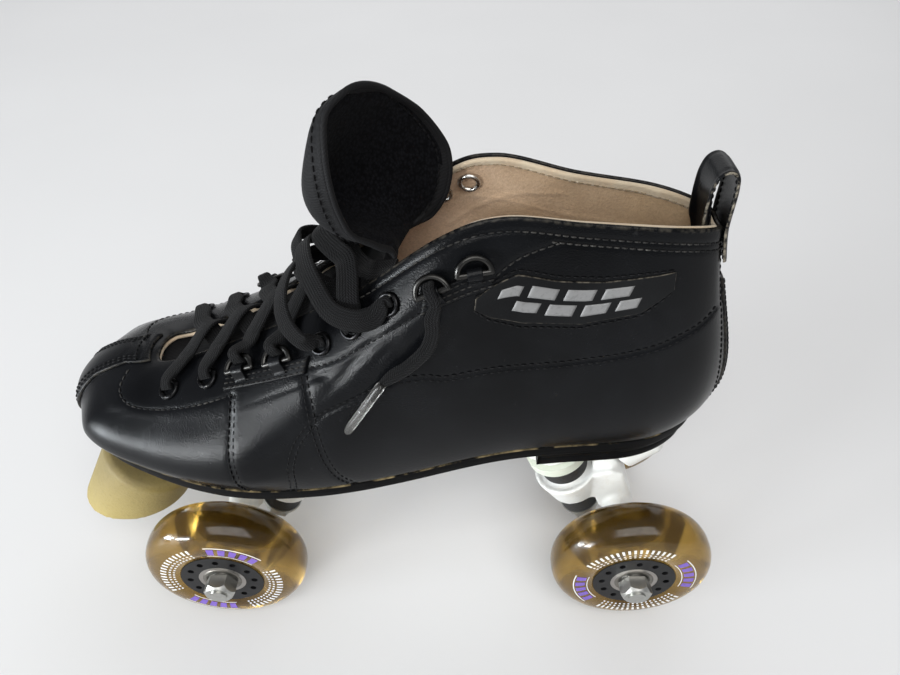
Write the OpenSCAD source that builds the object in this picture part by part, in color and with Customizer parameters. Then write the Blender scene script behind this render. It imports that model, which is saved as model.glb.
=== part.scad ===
// Quad speed skate for the left foot: a low leather boot on a metal plate, two steering
// trucks on rubber cushions, four wheels on ball bearings and an adjustable toe stop.
// X points to the toe, Y to the outer side of the foot, Z up. The wheels stand on Z = 0.

/* [Wheels] */
// Diameter of a wheel
wheel_d = 76; // [72:1:80]
// Width of a wheel
wheel_w = 24; // [22:1:26]
// Diameter of a hub core
hub_d = 38.6; // [36:0.2:42]
// Radial depth of the rounded tread
tread_depth = 13; // [9:0.5:15]
// Lightening holes round a hub core
hub_holes = 12; // [6:1:16]
// Diameter of a lightening hole
hub_hole_d = 3; // [2:0.5:3.5]
// Distance between the two axles
wheel_base = 195; // [190:1:205]
// Distance between the middles of the two wheels on an axle
track = 84; // [82:1:90]

/* [Axles and bearings] */
// Diameter of an axle
axle_d = 8; // [7:0.5:8.5]
// Outer diameter of a bearing
bearing_od = 22; // [21:0.5:23]
// Width of a bearing
bearing_w = 7; // [6:0.5:8]
// Wall of an outer race
outer_race_t = 1.8; // [1.4:0.1:2]
// Wall of an inner race
inner_race_t = 2; // [1.6:0.1:2.2]
// Thickness of a bearing shield
shield_t = 0.5; // [0.3:0.1:0.8]
// Depth of a bearing below the hub's end face
bearing_inset = 0.5; // [0.2:0.1:1.5]
// Balls in a bearing
balls = 7; // [5:1:7]
// Wall of the sleeve between two inner races
sleeve_t = 1.5; // [1:0.1:1.8]
// Thickness of an axle washer
washer_t = 1; // [0.5:0.1:1.5]
// Width of an axle nut across its flats
axle_nut_af = 13; // [12:0.5:14]
// Height of an axle nut
axle_nut_h = 7; // [6:0.5:9]
// Length of axle that shows past its nut
axle_end = 0.8; // [0.4:0.2:3]

/* [Trucks] */
// Distance from an axle to the middle of the hanger's ring, along the skate
ring_x = 24.5; // [24:0.5:28]
// Height of the middle of the hanger's ring above the axle
ring_z = 9; // [8:0.5:11]
// Lean of a kingpin from upright, its head towards the middle of the skate
kingpin_lean = 22; // [18:1:24]
// Diameter of a kingpin
kingpin_d = 9.5; // [8:0.5:10]
// Radius of the hanger's ring
ring_r = 16.4; // [16:0.2:17]
// Radius of the ball-shaped seats that the cushions tilt on
seat_r = 14; // [13.5:0.5:14.5]
// Height of the ring's upper face above its middle
ring_h = 8.6; // [8:0.2:9]
// Depth of the ring's foot below its middle
ring_low = 7; // [6:0.2:8.4]
// Radius of the ring at its foot
ring_foot_r = 12.6; // [12:0.2:13.4]
// Height of the rim round the upper cushion
rim_h = 0.8; // [0.5:0.1:1.6]
// Radius of an upper cushion
upper_cushion_r = 12; // [11:0.5:12]
// Height of an upper cushion
upper_cushion_h = 14.8; // [13:0.2:16]
// Radius of a lower cushion
lower_cushion_r = 10; // [9.5:0.5:10.2]
// Height of a lower cushion
lower_cushion_h = 7.3; // [6:0.1:8]
// Distance from the ring's middle to the near end of a cushion
cushion_start = 11.2; // [11:0.1:12]
// Radius of an upper cup washer
cup_r = 15.5; // [15:0.5:16.5]
// Depth of the cup washer's lip
cup_lip = 3; // [1.5:0.5:4]
// Thickness of a cup washer
cup_t = 2; // [1.5:0.1:2.5]
// Width of a kingpin nut across its flats
kingpin_nut_af = 15; // [14:0.5:16]
// Height of a kingpin nut
kingpin_nut_h = 7; // [6:0.5:8]
// Lean of the pivot from upright, its tip towards the end of the skate
pivot_lean = 44; // [42:1:46]
// Distance from the ring's middle to the tip of the pivot
pivot_l = 40; // [39:0.5:42]
// Radius of a pivot pin
pivot_r = 4.5; // [4:0.1:5]
// Wall of a pivot cup
pivot_cup_t = 3; // [2:0.2:3.4]
// Radius of a hanger's arm next to the wheel
arm_r = 6.8; // [6.4:0.1:7.5]
// Radius of a hanger's arm at its root
arm_root_r = 8; // [7.6:0.1:8.6]
// Width of a hanger's middle
hanger_w = 20; // [18:1:22]
// Gap between a hanger's arm and the bearing beside it
arm_gap = 0.1; // [0.05:0.05:0.3]

/* [Plate] */
// Height of the plate's top above the axles
deck_rise = 58.5; // [57:0.5:60]
// Thickness of the plate
deck_t = 5; // [4:0.5:6]
// Radius of a kingpin boss
kingpin_boss_r = 13; // [12:0.5:14]
// Radius of a pivot boss
pivot_boss_r = 10; // [9.8:0.1:11]
// Thickness of a rail under the plate
rail_t = 4; // [3:0.5:6]
// Depth of a rail under the plate
rail_h = 9; // [6:0.5:12]
// Distance between the middles of the two rails
rail_gap = 18; // [14:1:20]
// Diameter of a mounting bolt
bolt_d = 5; // [4:0.5:6]
// Diameter of a mounting bolt's head
bolt_head_d = 9; // [8:0.5:10]
// Height of a mounting bolt's head
bolt_head_h = 2.6; // [2:0.2:3.4]
// Diameter of a tee nut's flange
tee_flange_d = 14; // [12:1:16]
// Thickness of a tee nut's flange
tee_flange_t = 1; // [0.6:0.1:1.2]
// Wall of a tee nut's barrel
tee_wall = 0.9; // [0.6:0.1:1.2]
// Depth of a tee nut's barrel
tee_depth = 4.5; // [3:0.5:5]

/* [Toe stop] */
// Radius of the toe stop
stop_r = 23.3; // [21:0.1:25]
// Lean of the toe stop from upright
stop_lean = 30; // [27:1:32]
// Distance from the front axle to the toe stop's axis, at the plate's top
stop_ahead = 24.5; // [22.5:0.5:28.5]
// Height of the toe stop's sole above the floor
stop_clear = 40.5; // [36:0.5:44]
// Distance from the plate's top to the rubber, along the stem
stop_start = 31; // [30.5:0.5:36]
// Rounding of the rubber's upper edge
stop_edge = 2.5; // [1:0.5:4]
// Radius of the stem
stem_r = 7.9; // [7:0.1:8.5]
// Depth of the stem inside the rubber
stem_grip = 14; // [10:1:16]
// Radius of the boss round the stem
stop_boss_r = 13; // [12:0.5:14.5]
// Length of the boss round the stem, from the plate's top
stop_boss_l = 18; // [16:0.5:19]
// Width of the stem's lock nut across its flats
stop_nut_af = 26; // [24:0.5:28]
// Height of the stem's lock nut
stop_nut_h = 7; // [5:0.5:8]

/* [Boot] */
// Thickness of the outsole
sole_t = 6; // [4:0.5:8]
// Height of the heel block
heel_rise = 9; // [7:0.5:11]
// Rise of the toe above the ball of the foot
toe_spring = 9; // [6:0.5:11]
// Thickness of the upper leather
upper_t = 1.8; // [1.2:0.1:2.2]
// Thickness of the lining
lining_t = 1.4; // [1:0.1:1.8]
// Thickness of the insole
insole_t = 3; // [2:0.5:5]
// Thickness of the sewn-on strips and panels
strip_t = 1.2; // [0.8:0.1:1.6]
// Thickness of the tongue in its middle
tongue_t = 5; // [3.5:0.5:5.5]
// Inset of the heel block below the sole's edge
heel_inset = 2; // [1:0.5:4]
// Width of the heel loop's strap
loop_w = 16; // [12:1:20]
// Thickness of the heel loop's strap
loop_t = 1.6; // [1.4:0.1:1.8]

/* [Lacing] */
// Width of the flat lace
lace_w = 6.5; // [5:0.5:7]
// Thickness of the lace
lace_t = 1.9; // [1.4:0.1:2]
// Radius of the hole in an eyelet
eyelet_r = 2.7; // [2.2:0.1:3]
// Width of an eyelet's rolled rim
eyelet_rim = 1.9; // [1.5:0.1:2.1]
// Height of an eyelet's rolled rim
eyelet_h = 1.2; // [0.8:0.1:1.3]
// Radius of the wire of a lace ring
wire_r = 1.1; // [0.9:0.1:1.2]
// Radius of a lace ring's bow
bow_r = 5.8; // [5.6:0.1:5.8]
// Height of a lace ring above the leather
ring_lift = 2.7; // [2.6:0.1:3.2]
// Wall of the loop that holds a lace ring
ring_loop_t = 0.8; // [0.6:0.1:0.9]
// Diameter of a lace end's sleeve
aglet_d = 4; // [3:0.5:5]
// Length of a lace end's sleeve
aglet_l = 26; // [20:1:30]

/* [Fits] */
// Radial clearance of a running fit
run_gap = 0.05; // [0.02:0.01:0.09]
// Radial clearance of a tight seat
seat_gap = 0.02; // [0.01:0.01:0.04]
// Gap between two layers of the boot
layer_gap = 0.2; // [0.15:0.05:0.3]
// Gap between a rubber cushion and what tilts on it
tilt_gap = 0.3; // [0.2:0.05:0.4]

/* [Hidden] */
$fn = 64;

FRONT = 1;
REAR = -1;
LEFT = 1;
RIGHT = -1;

axle_z = wheel_d / 2;
deck_z = axle_z + deck_rise;
deck_low = deck_z - deck_t;
wheel_r = wheel_d / 2;
hub_r = hub_d / 2;
half_w = wheel_w / 2;

// Boot stations from the heel to the toe, with Z from the plate's top:
// sole edge X, outer Y, inner Y, then top line X, half width, Z
STATIONS = [
    [-121, 0, 0, -109.5, 0, 106.5],
    [-113, 16, -16, -106, 9, 109],
    [-92, 27.5, -27, -88, 16, 113],
    [-56, 31.5, -29, -58, 19, 117],
    [-22, 35.5, -29, -28, 23, 122],
    [12, 41, -33, -6, 24, 114.5],
    [46, 47, -41, 26, 19, 87.5],
    [80, 47.5, -46, 66, 12, 62.5],
    [116, 38, -42, 98, 9.5, 47],
    [143, 24, -31, 112, 8.5, 43],
    [156, -3, -3, 115, 0, 43]
];
// Swell of the wall at each station: out and up above the sole, then out and down below the top line
SWELL = [
    [20, 20, 6, 38],
    [14, 20, 6, 37],
    [9, 20, 7, 34],
    [8, 22, 9, 30],
    [6, 26, 11, 26],
    [6, 26, 14, 17],
    [6, 22, 20, 9],
    [7, 18, 25, 4],
    [7, 14, 25, 2],
    [7, 11, 23, 2],
    [7, 9, 23, 0]
];
LAST = len(STATIONS) - 1;
RIBS = 2 * LAST;
// The sole rises along the shank, ahead of the heel, and again from the ball to the toe
shank_x = 28;
shank_l = 75;
spring_x = 92;
toe_x = STATIONS[LAST][0];

function smooth(t) = let (u = min(max(t, 0), 1)) u * u * (3 - 2 * u);
function sole_low(x) =
    deck_z
    + toe_spring * pow(max(0, (x - spring_x) / (toe_x - spring_x)), 2)
    + heel_rise * smooth((shank_x - x) / shank_l);
function sole_top(x) = sole_low(x) + sole_t;

// The ribs run from the heel along the outer side to the toe and back along the inner side
function station_of(rib) = rib <= LAST ? rib : RIBS - rib;
function side_of(rib) = rib <= LAST ? 1 : -1;
function edge_point(i, side) =
    [STATIONS[i][0], side > 0 ? STATIONS[i][1] : STATIONS[i][2]];
function outward(i, side) =
    i == 0 ? [-1, 0, 0]
    : i == LAST ? [1, 0, 0]
    : let (d = edge_point(i + 1, side) - edge_point(i - 1, side), l = norm(d))
      side * [-d[1] / l, d[0] / l, 0];
function rib_controls(rib) =
    let (
        i = station_of(rib),
        side = side_of(rib),
        e = edge_point(i, side),
        out = outward(i, side),
        foot = [e[0], e[1], sole_top(e[0])],
        top = [STATIONS[i][3], side * STATIONS[i][4], deck_z + STATIONS[i][5]]
    )
    [
        foot,
        foot + SWELL[i][0] * out + [0, 0, SWELL[i][1]],
        top + SWELL[i][2] * out - [0, 0, SWELL[i][3]],
        top
    ];
CONTROLS = [for (rib = [0 : RIBS - 1]) rib_controls(rib)];

function curve(a, b, c, d, t) =
    (2 * b + (c - a) * t + (2 * a - 5 * b + 4 * c - d) * t * t
     + (3 * b - a - 3 * c + d) * t * t * t) / 2;
function wrap(i) = (i + 2 * RIBS) % RIBS;
function controls_at(s) =
    let (i = floor(s), t = s - i)
    [
        for (k = [0 : 3])
            curve(CONTROLS[wrap(i - 1)][k], CONTROLS[wrap(i)][k],
                  CONTROLS[wrap(i + 1)][k], CONTROLS[wrap(i + 2)][k], t)
    ];
function bezier(c, v) =
    let (w = 1 - v)
    w * w * w * c[0] + 3 * v * w * w * c[1] + 3 * v * v * w * c[2] + v * v * v * c[3];
// A point of the boot's outer face: s counts ribs round the boot, v runs from the sole to the top line
function face_point(s, v) =
    let (c = controls_at(s), lift = sole_top(c[0][0]) - c[0][2])
    bezier(c, v) + [0, 0, lift * pow(1 - v, 3)];
STEP = 0.02;
function unit(a) = a / norm(a);
function along_ribs(s, v) = unit(face_point(s + STEP, v) - face_point(s - STEP, v));
function up_rib(s, v) = unit(face_point(s, v + STEP) - face_point(s, v - STEP));
function face_normal(s, v) = unit(cross(up_rib(s, v), along_ribs(s, v)));
// The offset turns level at the sole, so that every layer stands on it
LEVEL_V = 0.15;
function offset_way(s, v) =
    let (n = face_normal(s, v)) unit([n[0], n[1], n[2] * smooth(v / LEVEL_V)]);
function skin(s, v, d) = face_point(s, v) + d * offset_way(s, v);

lining_out = upper_t + layer_gap;
lining_in = lining_out + lining_t;

// Lacing points up one side, as ribs from the heel and share of the wall's height
EYELETS = [[7.95, 0.76], [7.45, 0.79], [6.25, 0.8], [5.95, 0.82], [5.55, 0.84]];
FORE_RINGS = [[7.02, 0.78], [6.62, 0.77]];
ANKLE_RING = [5.0, 0.8];
TOP_RING = [4.42, 0.828];
// Grommets behind the two ankle rings, on the lining's hollow face
grommet_gap = 0.95;
GROMMETS = [[4.97, 0.846], [4.44, 0.872]];

// The origin lies at the middle of the whole length, from the rear wheels to the toe stop
wheel_back = -wheel_base / 2 - wheel_r;
// Toe stop's axis at the plate's top
stop_x = wheel_base / 2 + stop_ahead;
toe_front = stop_x + (deck_z - stop_clear) * tan(stop_lean) + stop_r / cos(stop_lean);
mid_x = (wheel_back + toe_front) / 2;

module rig() {
    translate([-mid_x, 0, 0]) children();
}

// Triangles between two neighbouring rows of equal length
function strip_faces(a, b, n, closed) =
    [
        for (j = [0 : n - (closed ? 1 : 2)])
            let (k = (j + 1) % n)
            each [[a + j, b + j, b + k], [a + j, b + k, a + k]]
    ];

// A closed solid from rows of points, each row a closed loop, with flat ends
module loft(rows) {
    n = len(rows[0]);
    m = len(rows);
    pts = [for (row = rows) each row];
    sides = [for (i = [0 : m - 2]) each strip_faces(i * n, (i + 1) * n, n, true)];
    first = [for (j = [1 : n - 2]) [0, j, j + 1]];
    base = (m - 1) * n;
    last = [for (j = [1 : n - 2]) [base, base + j + 1, base + j]];
    polyhedron(pts, concat(sides, first, last), convexity = 8);
}

// A sheet with thickness between two equal grids of points; rows run along the boot, columns up it
module sheet(low, high, closed = false) {
    m = len(low);
    n = len(low[0]);
    h = m * n;
    rows = closed ? m : m - 1;
    faces = [
        for (i = [0 : rows - 1])
            let (a = i * n, b = ((i + 1) % m) * n)
            each concat(
                [
                    for (j = [0 : n - 2])
                        each [
                            [h + a + j, h + b + j, h + b + j + 1],
                            [h + a + j, h + b + j + 1, h + a + j + 1],
                            [a + j, b + j + 1, b + j],
                            [a + j, a + j + 1, b + j + 1]
                        ]
                ],
                [
                    [a, b, h + b],
                    [a, h + b, h + a],
                    [a + n - 1, h + b + n - 1, b + n - 1],
                    [a + n - 1, h + a + n - 1, h + b + n - 1]
                ]
            )
    ];
    z = (m - 1) * n;
    ends = closed ? [] : [
        for (j = [0 : n - 2])
            each [
                [j, h + j, h + j + 1],
                [j, h + j + 1, j + 1],
                [z + j, h + z + j + 1, h + z + j],
                [z + j, z + j + 1, h + z + j + 1]
            ]
    ];
    polyhedron(
        concat([for (row = low) each row], [for (row = high) each row]),
        concat(faces, ends), convexity = 10
    );
}

// A ring-shaped wall round the whole boot between two offsets of its face
WALL_S = 80;
WALL_V = 8;
function wall_grid(d) =
    [
        for (i = [0 : WALL_S - 1])
            [for (j = [0 : WALL_V]) skin(RIBS * i / WALL_S, j / WALL_V, d)]
    ];
module wall(d_out, d_in) {
    sheet(wall_grid(d_in), wall_grid(d_out), true);
}

// A sewn-on patch between two offsets of the face; each row is a list of [s, v]
function patch_grid(rows, d) = [for (row = rows) [for (p = row) skin(wrap(p[0]), p[1], d)]];
module patch(rows, d_low, d_high) {
    sheet(patch_grid(rows, d_low), patch_grid(rows, d_high));
}
// Rows of a patch on one side, in the order that keeps its outer face outside
function side_rows(rows, side) =
    side > 0
    ? rows
    : [for (k = [len(rows) - 1 : -1 : 0]) [for (p = rows[k]) [RIBS - p[0], p[1]]]];

// A flat tube through hand-picked stations, each [point, way that the flat side faces, width]
function at(list, t) =
    let (
        i = min(max(floor(t), 0), len(list) - 2),
        u = t - i,
        a = list[max(i - 1, 0)],
        d = list[min(i + 2, len(list) - 1)]
    )
    curve(a, list[i], list[i + 1], d, u);
TUBE_SIDES = 8;
module band(points, ups, widths, thick, rings) {
    last = len(points) - 1;
    loft([
        for (k = [0 : rings])
            let (
                t = last * k / rings,
                p = at(points, t),
                way = unit(at(points, min(t + 0.05, last)) - at(points, max(t - 0.05, 0))),
                side = unit(cross(way, at(ups, t))),
                up = cross(side, way),
                w = at(widths, t) / 2
            )
            [
                for (q = [0 : TUBE_SIDES - 1])
                    let (a = -360 * (q + 0.5) / TUBE_SIDES)
                    p + side * w * cos(a) + up * thick / 2 * sin(a)
            ]
    ]);
}

// Local axes on the face: X along the top line, Y up the wall, Z out of the leather
module on_face(s, v, lift) {
    z = face_normal(s, v);
    x = -along_ribs(s, v);
    y = cross(z, x);
    p = face_point(s, v) + lift * z;
    multmatrix([
        [x[0], y[0], z[0], p[0]],
        [x[1], y[1], z[1], p[1]],
        [x[2], y[2], z[2], p[2]]
    ]) children();
}
// The same lacing point on the outer or the inner side; s turns over with the side
function side_s(s, side) = side > 0 ? s : RIBS - s;
module on_side(p, side, lift) {
    on_face(side_s(p[0], side), p[1], lift) children();
}

module outsole() {
    color("#1c1c1e") rig() difference() {
        loft([
            for (k = [0 : SOLE_RUNGS])
                let (
                    s = SOLE_END + (LAST - 2 * SOLE_END) * k / SOLE_RUNGS,
                    a = face_point(s, 0),
                    b = face_point(RIBS - s, 0),
                    low_a = sole_low(a[0]),
                    low_b = sole_low(b[0])
                )
                [
                    [a[0], a[1], low_a + sole_t - layer_gap],
                    [b[0], b[1], low_b + sole_t - layer_gap],
                    [b[0], b[1], low_b],
                    [a[0], a[1], low_a]
                ]
        ]);
        bolt_holes();
    }
}
SOLE_RUNGS = 60;
SOLE_END = 0.12;

// The block reaches forward to this rib, just behind the shank
HEEL_RIB = 3.2;
module heel_block() {
    color("#202022") rig() difference() {
        translate([0, 0, deck_z])
            linear_extrude(heel_rise)
                polygon([
                    for (k = [-16 : 16])
                        let (p = skin(wrap(HEEL_RIB * k / 16), 0, -heel_inset))
                        [p[0], p[1]]
                ]);
        bolt_holes();
    }
}

module upper() {
    color("#232528") rig() wall(0, -upper_t);
}

module lining() {
    color("#c69a6b") rig() wall(-lining_out, -lining_in);
}

insole_in = lining_in + layer_gap;
module insole() {
    color("#b98f63") rig() loft([
        for (k = [0 : SOLE_RUNGS / 2])
            let (
                s = 2 * SOLE_END + (LAST - 4 * SOLE_END) * k / (SOLE_RUNGS / 2),
                a = skin(s, 0, -insole_in),
                b = skin(RIBS - s, 0, -insole_in),
                low = tee_flange_t + layer_gap,
                high = low + insole_t
            )
            [
                [a[0], a[1], sole_top(a[0]) + high],
                [b[0], b[1], sole_top(b[0]) + high],
                [b[0], b[1], sole_top(b[0]) + low],
                [a[0], a[1], sole_top(a[0]) + low]
            ]
    ]);
}

strip_top = layer_gap + strip_t;
// Half width of the toe strip, in ribs, against the share of the wall's height
TOE_STRIP = [[0.06, 0.5], [0.3, 0.47], [0.55, 0.37], [0.8, 0.42], [0.96, 0.8]];
module toe_strip() {
    color("#26282b") rig() patch([
        for (j = [-5 : 5])
            [
                for (k = [0 : 14])
                    let (v = 0.06 + 0.9 * k / 14)
                    [LAST + lookup(v, TOE_STRIP) * j / 5, v]
            ]
    ], layer_gap, strip_top);
}

BACKSTAY_HALF = 0.42;
module backstay() {
    color("#26282b") rig() patch([
        for (j = [-4 : 4])
            [for (k = [0 : 12]) [RIBS + BACKSTAY_HALF * j / 4, 0.05 + 0.75 * k / 12]]
    ], layer_gap, strip_top);
}

// Upper and lower edges of the leaf-shaped side panel, as rib and share of the wall's height
LEAF_TOP = [[1.92, 0.86], [2.8, 0.81], [3.35, 0.8], [3.8, 0.81], [4.1, 0.775], [4.35, 0.735]];
LEAF_LOW = [[1.92, 0.8], [2.36, 0.71], [3, 0.66], [3.7, 0.65], [4.1, 0.67], [4.35, 0.7]];
module side_panel(side) {
    rows = [
        for (k = [0 : 22])
            let (s = 1.92 + 2.43 * k / 22, lo = lookup(s, LEAF_LOW), hi = lookup(s, LEAF_TOP))
            [for (j = [0 : 4]) [s, lo + (hi - lo) * j / 4]]
    ];
    color("#2b2d31") rig() patch(side_rows(rows, side), layer_gap, strip_top);
}

// A strip of leather with a loop round each ring's bar, from rib s0 to s1 at height v
ring_loop_r = wire_r + run_gap + ring_loop_t;
module tab(s0, s1, v0, v1, drop, rings, side) {
    rows = [
        for (k = [0 : 8])
            let (s = s0 + (s1 - s0) * k / 8, v = v0 + (v1 - v0) * k / 8)
            [for (j = [0 : 2]) [s, v - drop + drop * j / 2]]
    ];
    patch(side_rows(rows, side), layer_gap, strip_top);
    for (p = rings)
        on_side(p, side, ring_lift)
            rotate([0, 90, 0]) difference() {
                cylinder(r = ring_loop_r, h = bow_r * 1.4, center = true, $fn = 24);
                cylinder(r = wire_r + run_gap, h = bow_r * 2, center = true, $fn = 24);
            }
}
module forefoot_tabs() {
    color("#232528") rig() for (side = [LEFT, RIGHT])
        tab(6.36, 7.28, 0.765, 0.785, 0.07, FORE_RINGS, side);
}
module ankle_tabs() {
    color("#232528") rig() for (side = [LEFT, RIGHT])
        tab(4.16, 5.26, 0.838, 0.79, 0.06, [ANKLE_RING, TOP_RING], side);
}

// A wire ring: a straight bar on local X and a bow up the wall
module lace_ring(p, side) {
    on_side(p, side, ring_lift) {
        rotate([0, 90, 0]) cylinder(r = wire_r, h = 2 * bow_r, center = true);
        rotate_extrude(angle = 180) translate([bow_r, 0]) circle(wire_r);
        for (end = [-1, 1]) translate([end * bow_r, 0, 0]) sphere(wire_r);
    }
}
module forefoot_rings() {
    color("#6f7175") rig() for (side = [LEFT, RIGHT]) for (p = FORE_RINGS) lace_ring(p, side);
}
module ankle_rings() {
    color("#6f7175") rig() for (side = [LEFT, RIGHT]) lace_ring(ANKLE_RING, side);
}
module top_ring(side) {
    color("#6f7175") rig() lace_ring(TOP_RING, side);
}

module grommet() {
    rotate_extrude()
        translate([eyelet_r, 0])
            polygon([
                for (k = [0 : 8])
                    let (a = 180 * k / 8)
                    [eyelet_rim / 2 * (1 - cos(a)), eyelet_h * sin(a)]
            ]);
}
module eyelets() {
    color("#55575b") rig() for (side = [LEFT, RIGHT]) {
        for (p = EYELETS) on_side(p, side, layer_gap) grommet();
        for (p = GROMMETS) on_side(p, side, -lining_in - grommet_gap) mirror([0, 0, 1]) grommet();
    }
}

// The fixed part of the tongue lies under the eyestays; the free part starts at its upper end
TONGUE_FROM = 9.55;
TONGUE_TO = 5.69;
TONGUE_RUNGS = 14;
tongue_under = lining_in + 0.5;
// Share of the wall's height and thickness share across one half of the tongue, from its edge
TONGUE_HALF = [[0.8, 0.25], [0.87, 0.7], [0.94, 0.95]];
function tongue_row(s, share) =
    let (
        a = [for (h = TONGUE_HALF) skin(s, h[0], -tongue_under - tongue_t * share * h[1])],
        b = [for (h = TONGUE_HALF) skin(RIBS - s, h[0], -tongue_under - tongue_t * share * h[1])],
        mid = (skin(s, 1, -tongue_under) + skin(RIBS - s, 1, -tongue_under)) / 2
    )
    concat(a, [mid - [0, 0, tongue_t * share]], [b[2], b[1], b[0]]);
function tongue_grid(share) =
    [
        for (k = [0 : TONGUE_RUNGS])
            tongue_row(TONGUE_TO + (TONGUE_FROM - TONGUE_TO) * k / TONGUE_RUNGS, share)
    ];
module tongue_base() {
    color("#1d1d20") rig() sheet(tongue_grid(1), tongue_grid(0));
}

// Free part of the tongue, from its bend up: outer edge, two controls and inner edge, Z from the plate
FLAP = [
    [[8.6, 12, 95.7], [11.5, 6, 94.5], [11, -6, 94.5], [7, -13.2, 95]],
    [[15, 13, 104], [19, 8, 102.8], [15, -9, 101], [-3, -14.5, 100]],
    [[22.8, 15.2, 110], [34, 11, 109], [29, -14, 106.5], [-8, -16, 107]],
    [[26, 16.5, 117.5], [43.5, 14, 114.5], [40, -18, 111.5], [-10, -17, 113.5]],
    [[28, 18, 129], [46, 16, 123.5], [42, -21, 119.5], [-10.5, -18, 120.5]],
    [[28.6, 17.5, 142], [42, 14, 136.5], [35, -20, 131], [-8.5, -19, 128.5]],
    [[27.8, 12.5, 153], [34, 8, 150.5], [22, -14, 145.5], [0, -16.5, 141.5]],
    [[21.5, 6, 158.8], [19.5, 3.5, 158.5], [15.5, -2, 157], [11, -7, 153.8]]
];
FLAP_FULL = [0.55, 0.7, 0.85, 1, 1, 1, 0.85, 0.45];
FLAP_ROWS = 14;
FLAP_COLS = 10;
function flap_mid(t, u) = bezier([for (k = [0 : 3]) at([for (r = FLAP) r[k]], t)], u);
function flap_point(t, u, share) =
    let (
        h = 0.02,
        top = len(FLAP) - 1,
        du = flap_mid(t, min(u + h, 1)) - flap_mid(t, max(u - h, 0)),
        dt = flap_mid(min(t + h, top), u) - flap_mid(max(t - h, 0), u),
        n = unit(cross(du, dt)),
        full = at(FLAP_FULL, t) * tongue_t / 2 * (0.35 + 0.65 * sqrt(max(0, 1 - pow(2 * u - 1, 2))))
    )
    flap_mid(t, u) + [0, 0, deck_z] + n * full * share;
function flap_grid(share) =
    [
        for (k = [0 : FLAP_ROWS])
            [for (j = [0 : FLAP_COLS]) flap_point((len(FLAP) - 1) * k / FLAP_ROWS, j / FLAP_COLS, share)]
    ];
module tongue_flap() {
    color("#1d1d20") rig() sheet(flap_grid(-1), flap_grid(1));
}

// Rows of lacing from the toe up: where each lace comes out, the ribs where it rounds its own
// edge and dives under the far one, and whether it comes out of a ring
LACE_ROWS = [
    [EYELETS[0], 7.95, 7.5, false], [EYELETS[1], 7.45, 7.05, false],
    [FORE_RINGS[0], 7.0, 6.65, true], [FORE_RINGS[1], 6.6, 6.28, true]
];
// Loose loops of the upper rows: side, hole, way over the throat with Z from the plate's top, and
// the rib where the lace dives under the far edge
LOOPS = [
    [1, EYELETS[2], [[43.4, 31.5, 75.8], [48.2, 29.4, 81], [51, 23, 86], [51, 13, 89], [48.6, 3, 90],
        [44.6, -6, 89], [38.2, -11.4, 83.4]], 6.1],
    [1, EYELETS[4], [[16.4, 33, 88.6], [22.9, 33.4, 87.2], [31.7, 29.2, 87.8], [38.4, 20.4, 92.4],
        [43, 10.4, 94.8], [45.4, 0, 95], [44.6, -7, 94], [39.6, -12, 91], [30.5, -14.6, 87.2]], 5.8],
    [1, EYELETS[3], [[25.2, 28.6, 86.6], [25.6, 26, 92.2], [26, 19, 97.6], [27.5, 13, 99.4],
        [31.5, 8, 99.6], [36.5, 1, 99.6], [38.5, -5, 99.8], [35, -10.5, 100], [25, -14.6, 99]], 5.6],
    [-1, EYELETS[2], [[41, -30.4, 78.6], [47.6, -29, 82.6], [52.5, -23.8, 85], [52.4, -17.5, 85],
        [49.4, -9, 84], [44.6, 1, 84.6], [38.4, 9.2, 84.2]], 5.97],
    [-1, EYELETS[3], [[27, -29.2, 87.2], [29.2, -26.6, 92], [29.6, -19.6, 94.6], [29.6, -9.4, 93.6],
        [27, 1, 92.6], [22, 9.4, 93.4], [17, 14.6, 95.2]], 5.5]
];
// A loop's end goes deeper under the far edge than a pulled row's
LOOP_DIVE = [2.3, -1.2];
rim_crest = layer_gap + eyelet_h + lace_t / 2 + 0.4;
// A point at y up the wall and h out of the leather, from a lacing point
function by_hole(p, side, y, h) =
    let (s = side_s(p[0], side), n = face_normal(s, p[1]))
    face_point(s, p[1]) + y * cross(along_ribs(s, p[1]), n) + h * n;
// Way up the wall at a lacing point
function hole_up(p, side) =
    let (s = side_s(p[0], side)) cross(along_ribs(s, p[1]), face_normal(s, p[1]));
// The lace stands upright between a ring's bar and its bow
ring_slot = (ring_loop_r + bow_r - wire_r) / 2;
ring_crest = ring_lift + wire_r + lace_t / 2 + 0.5;
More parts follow.
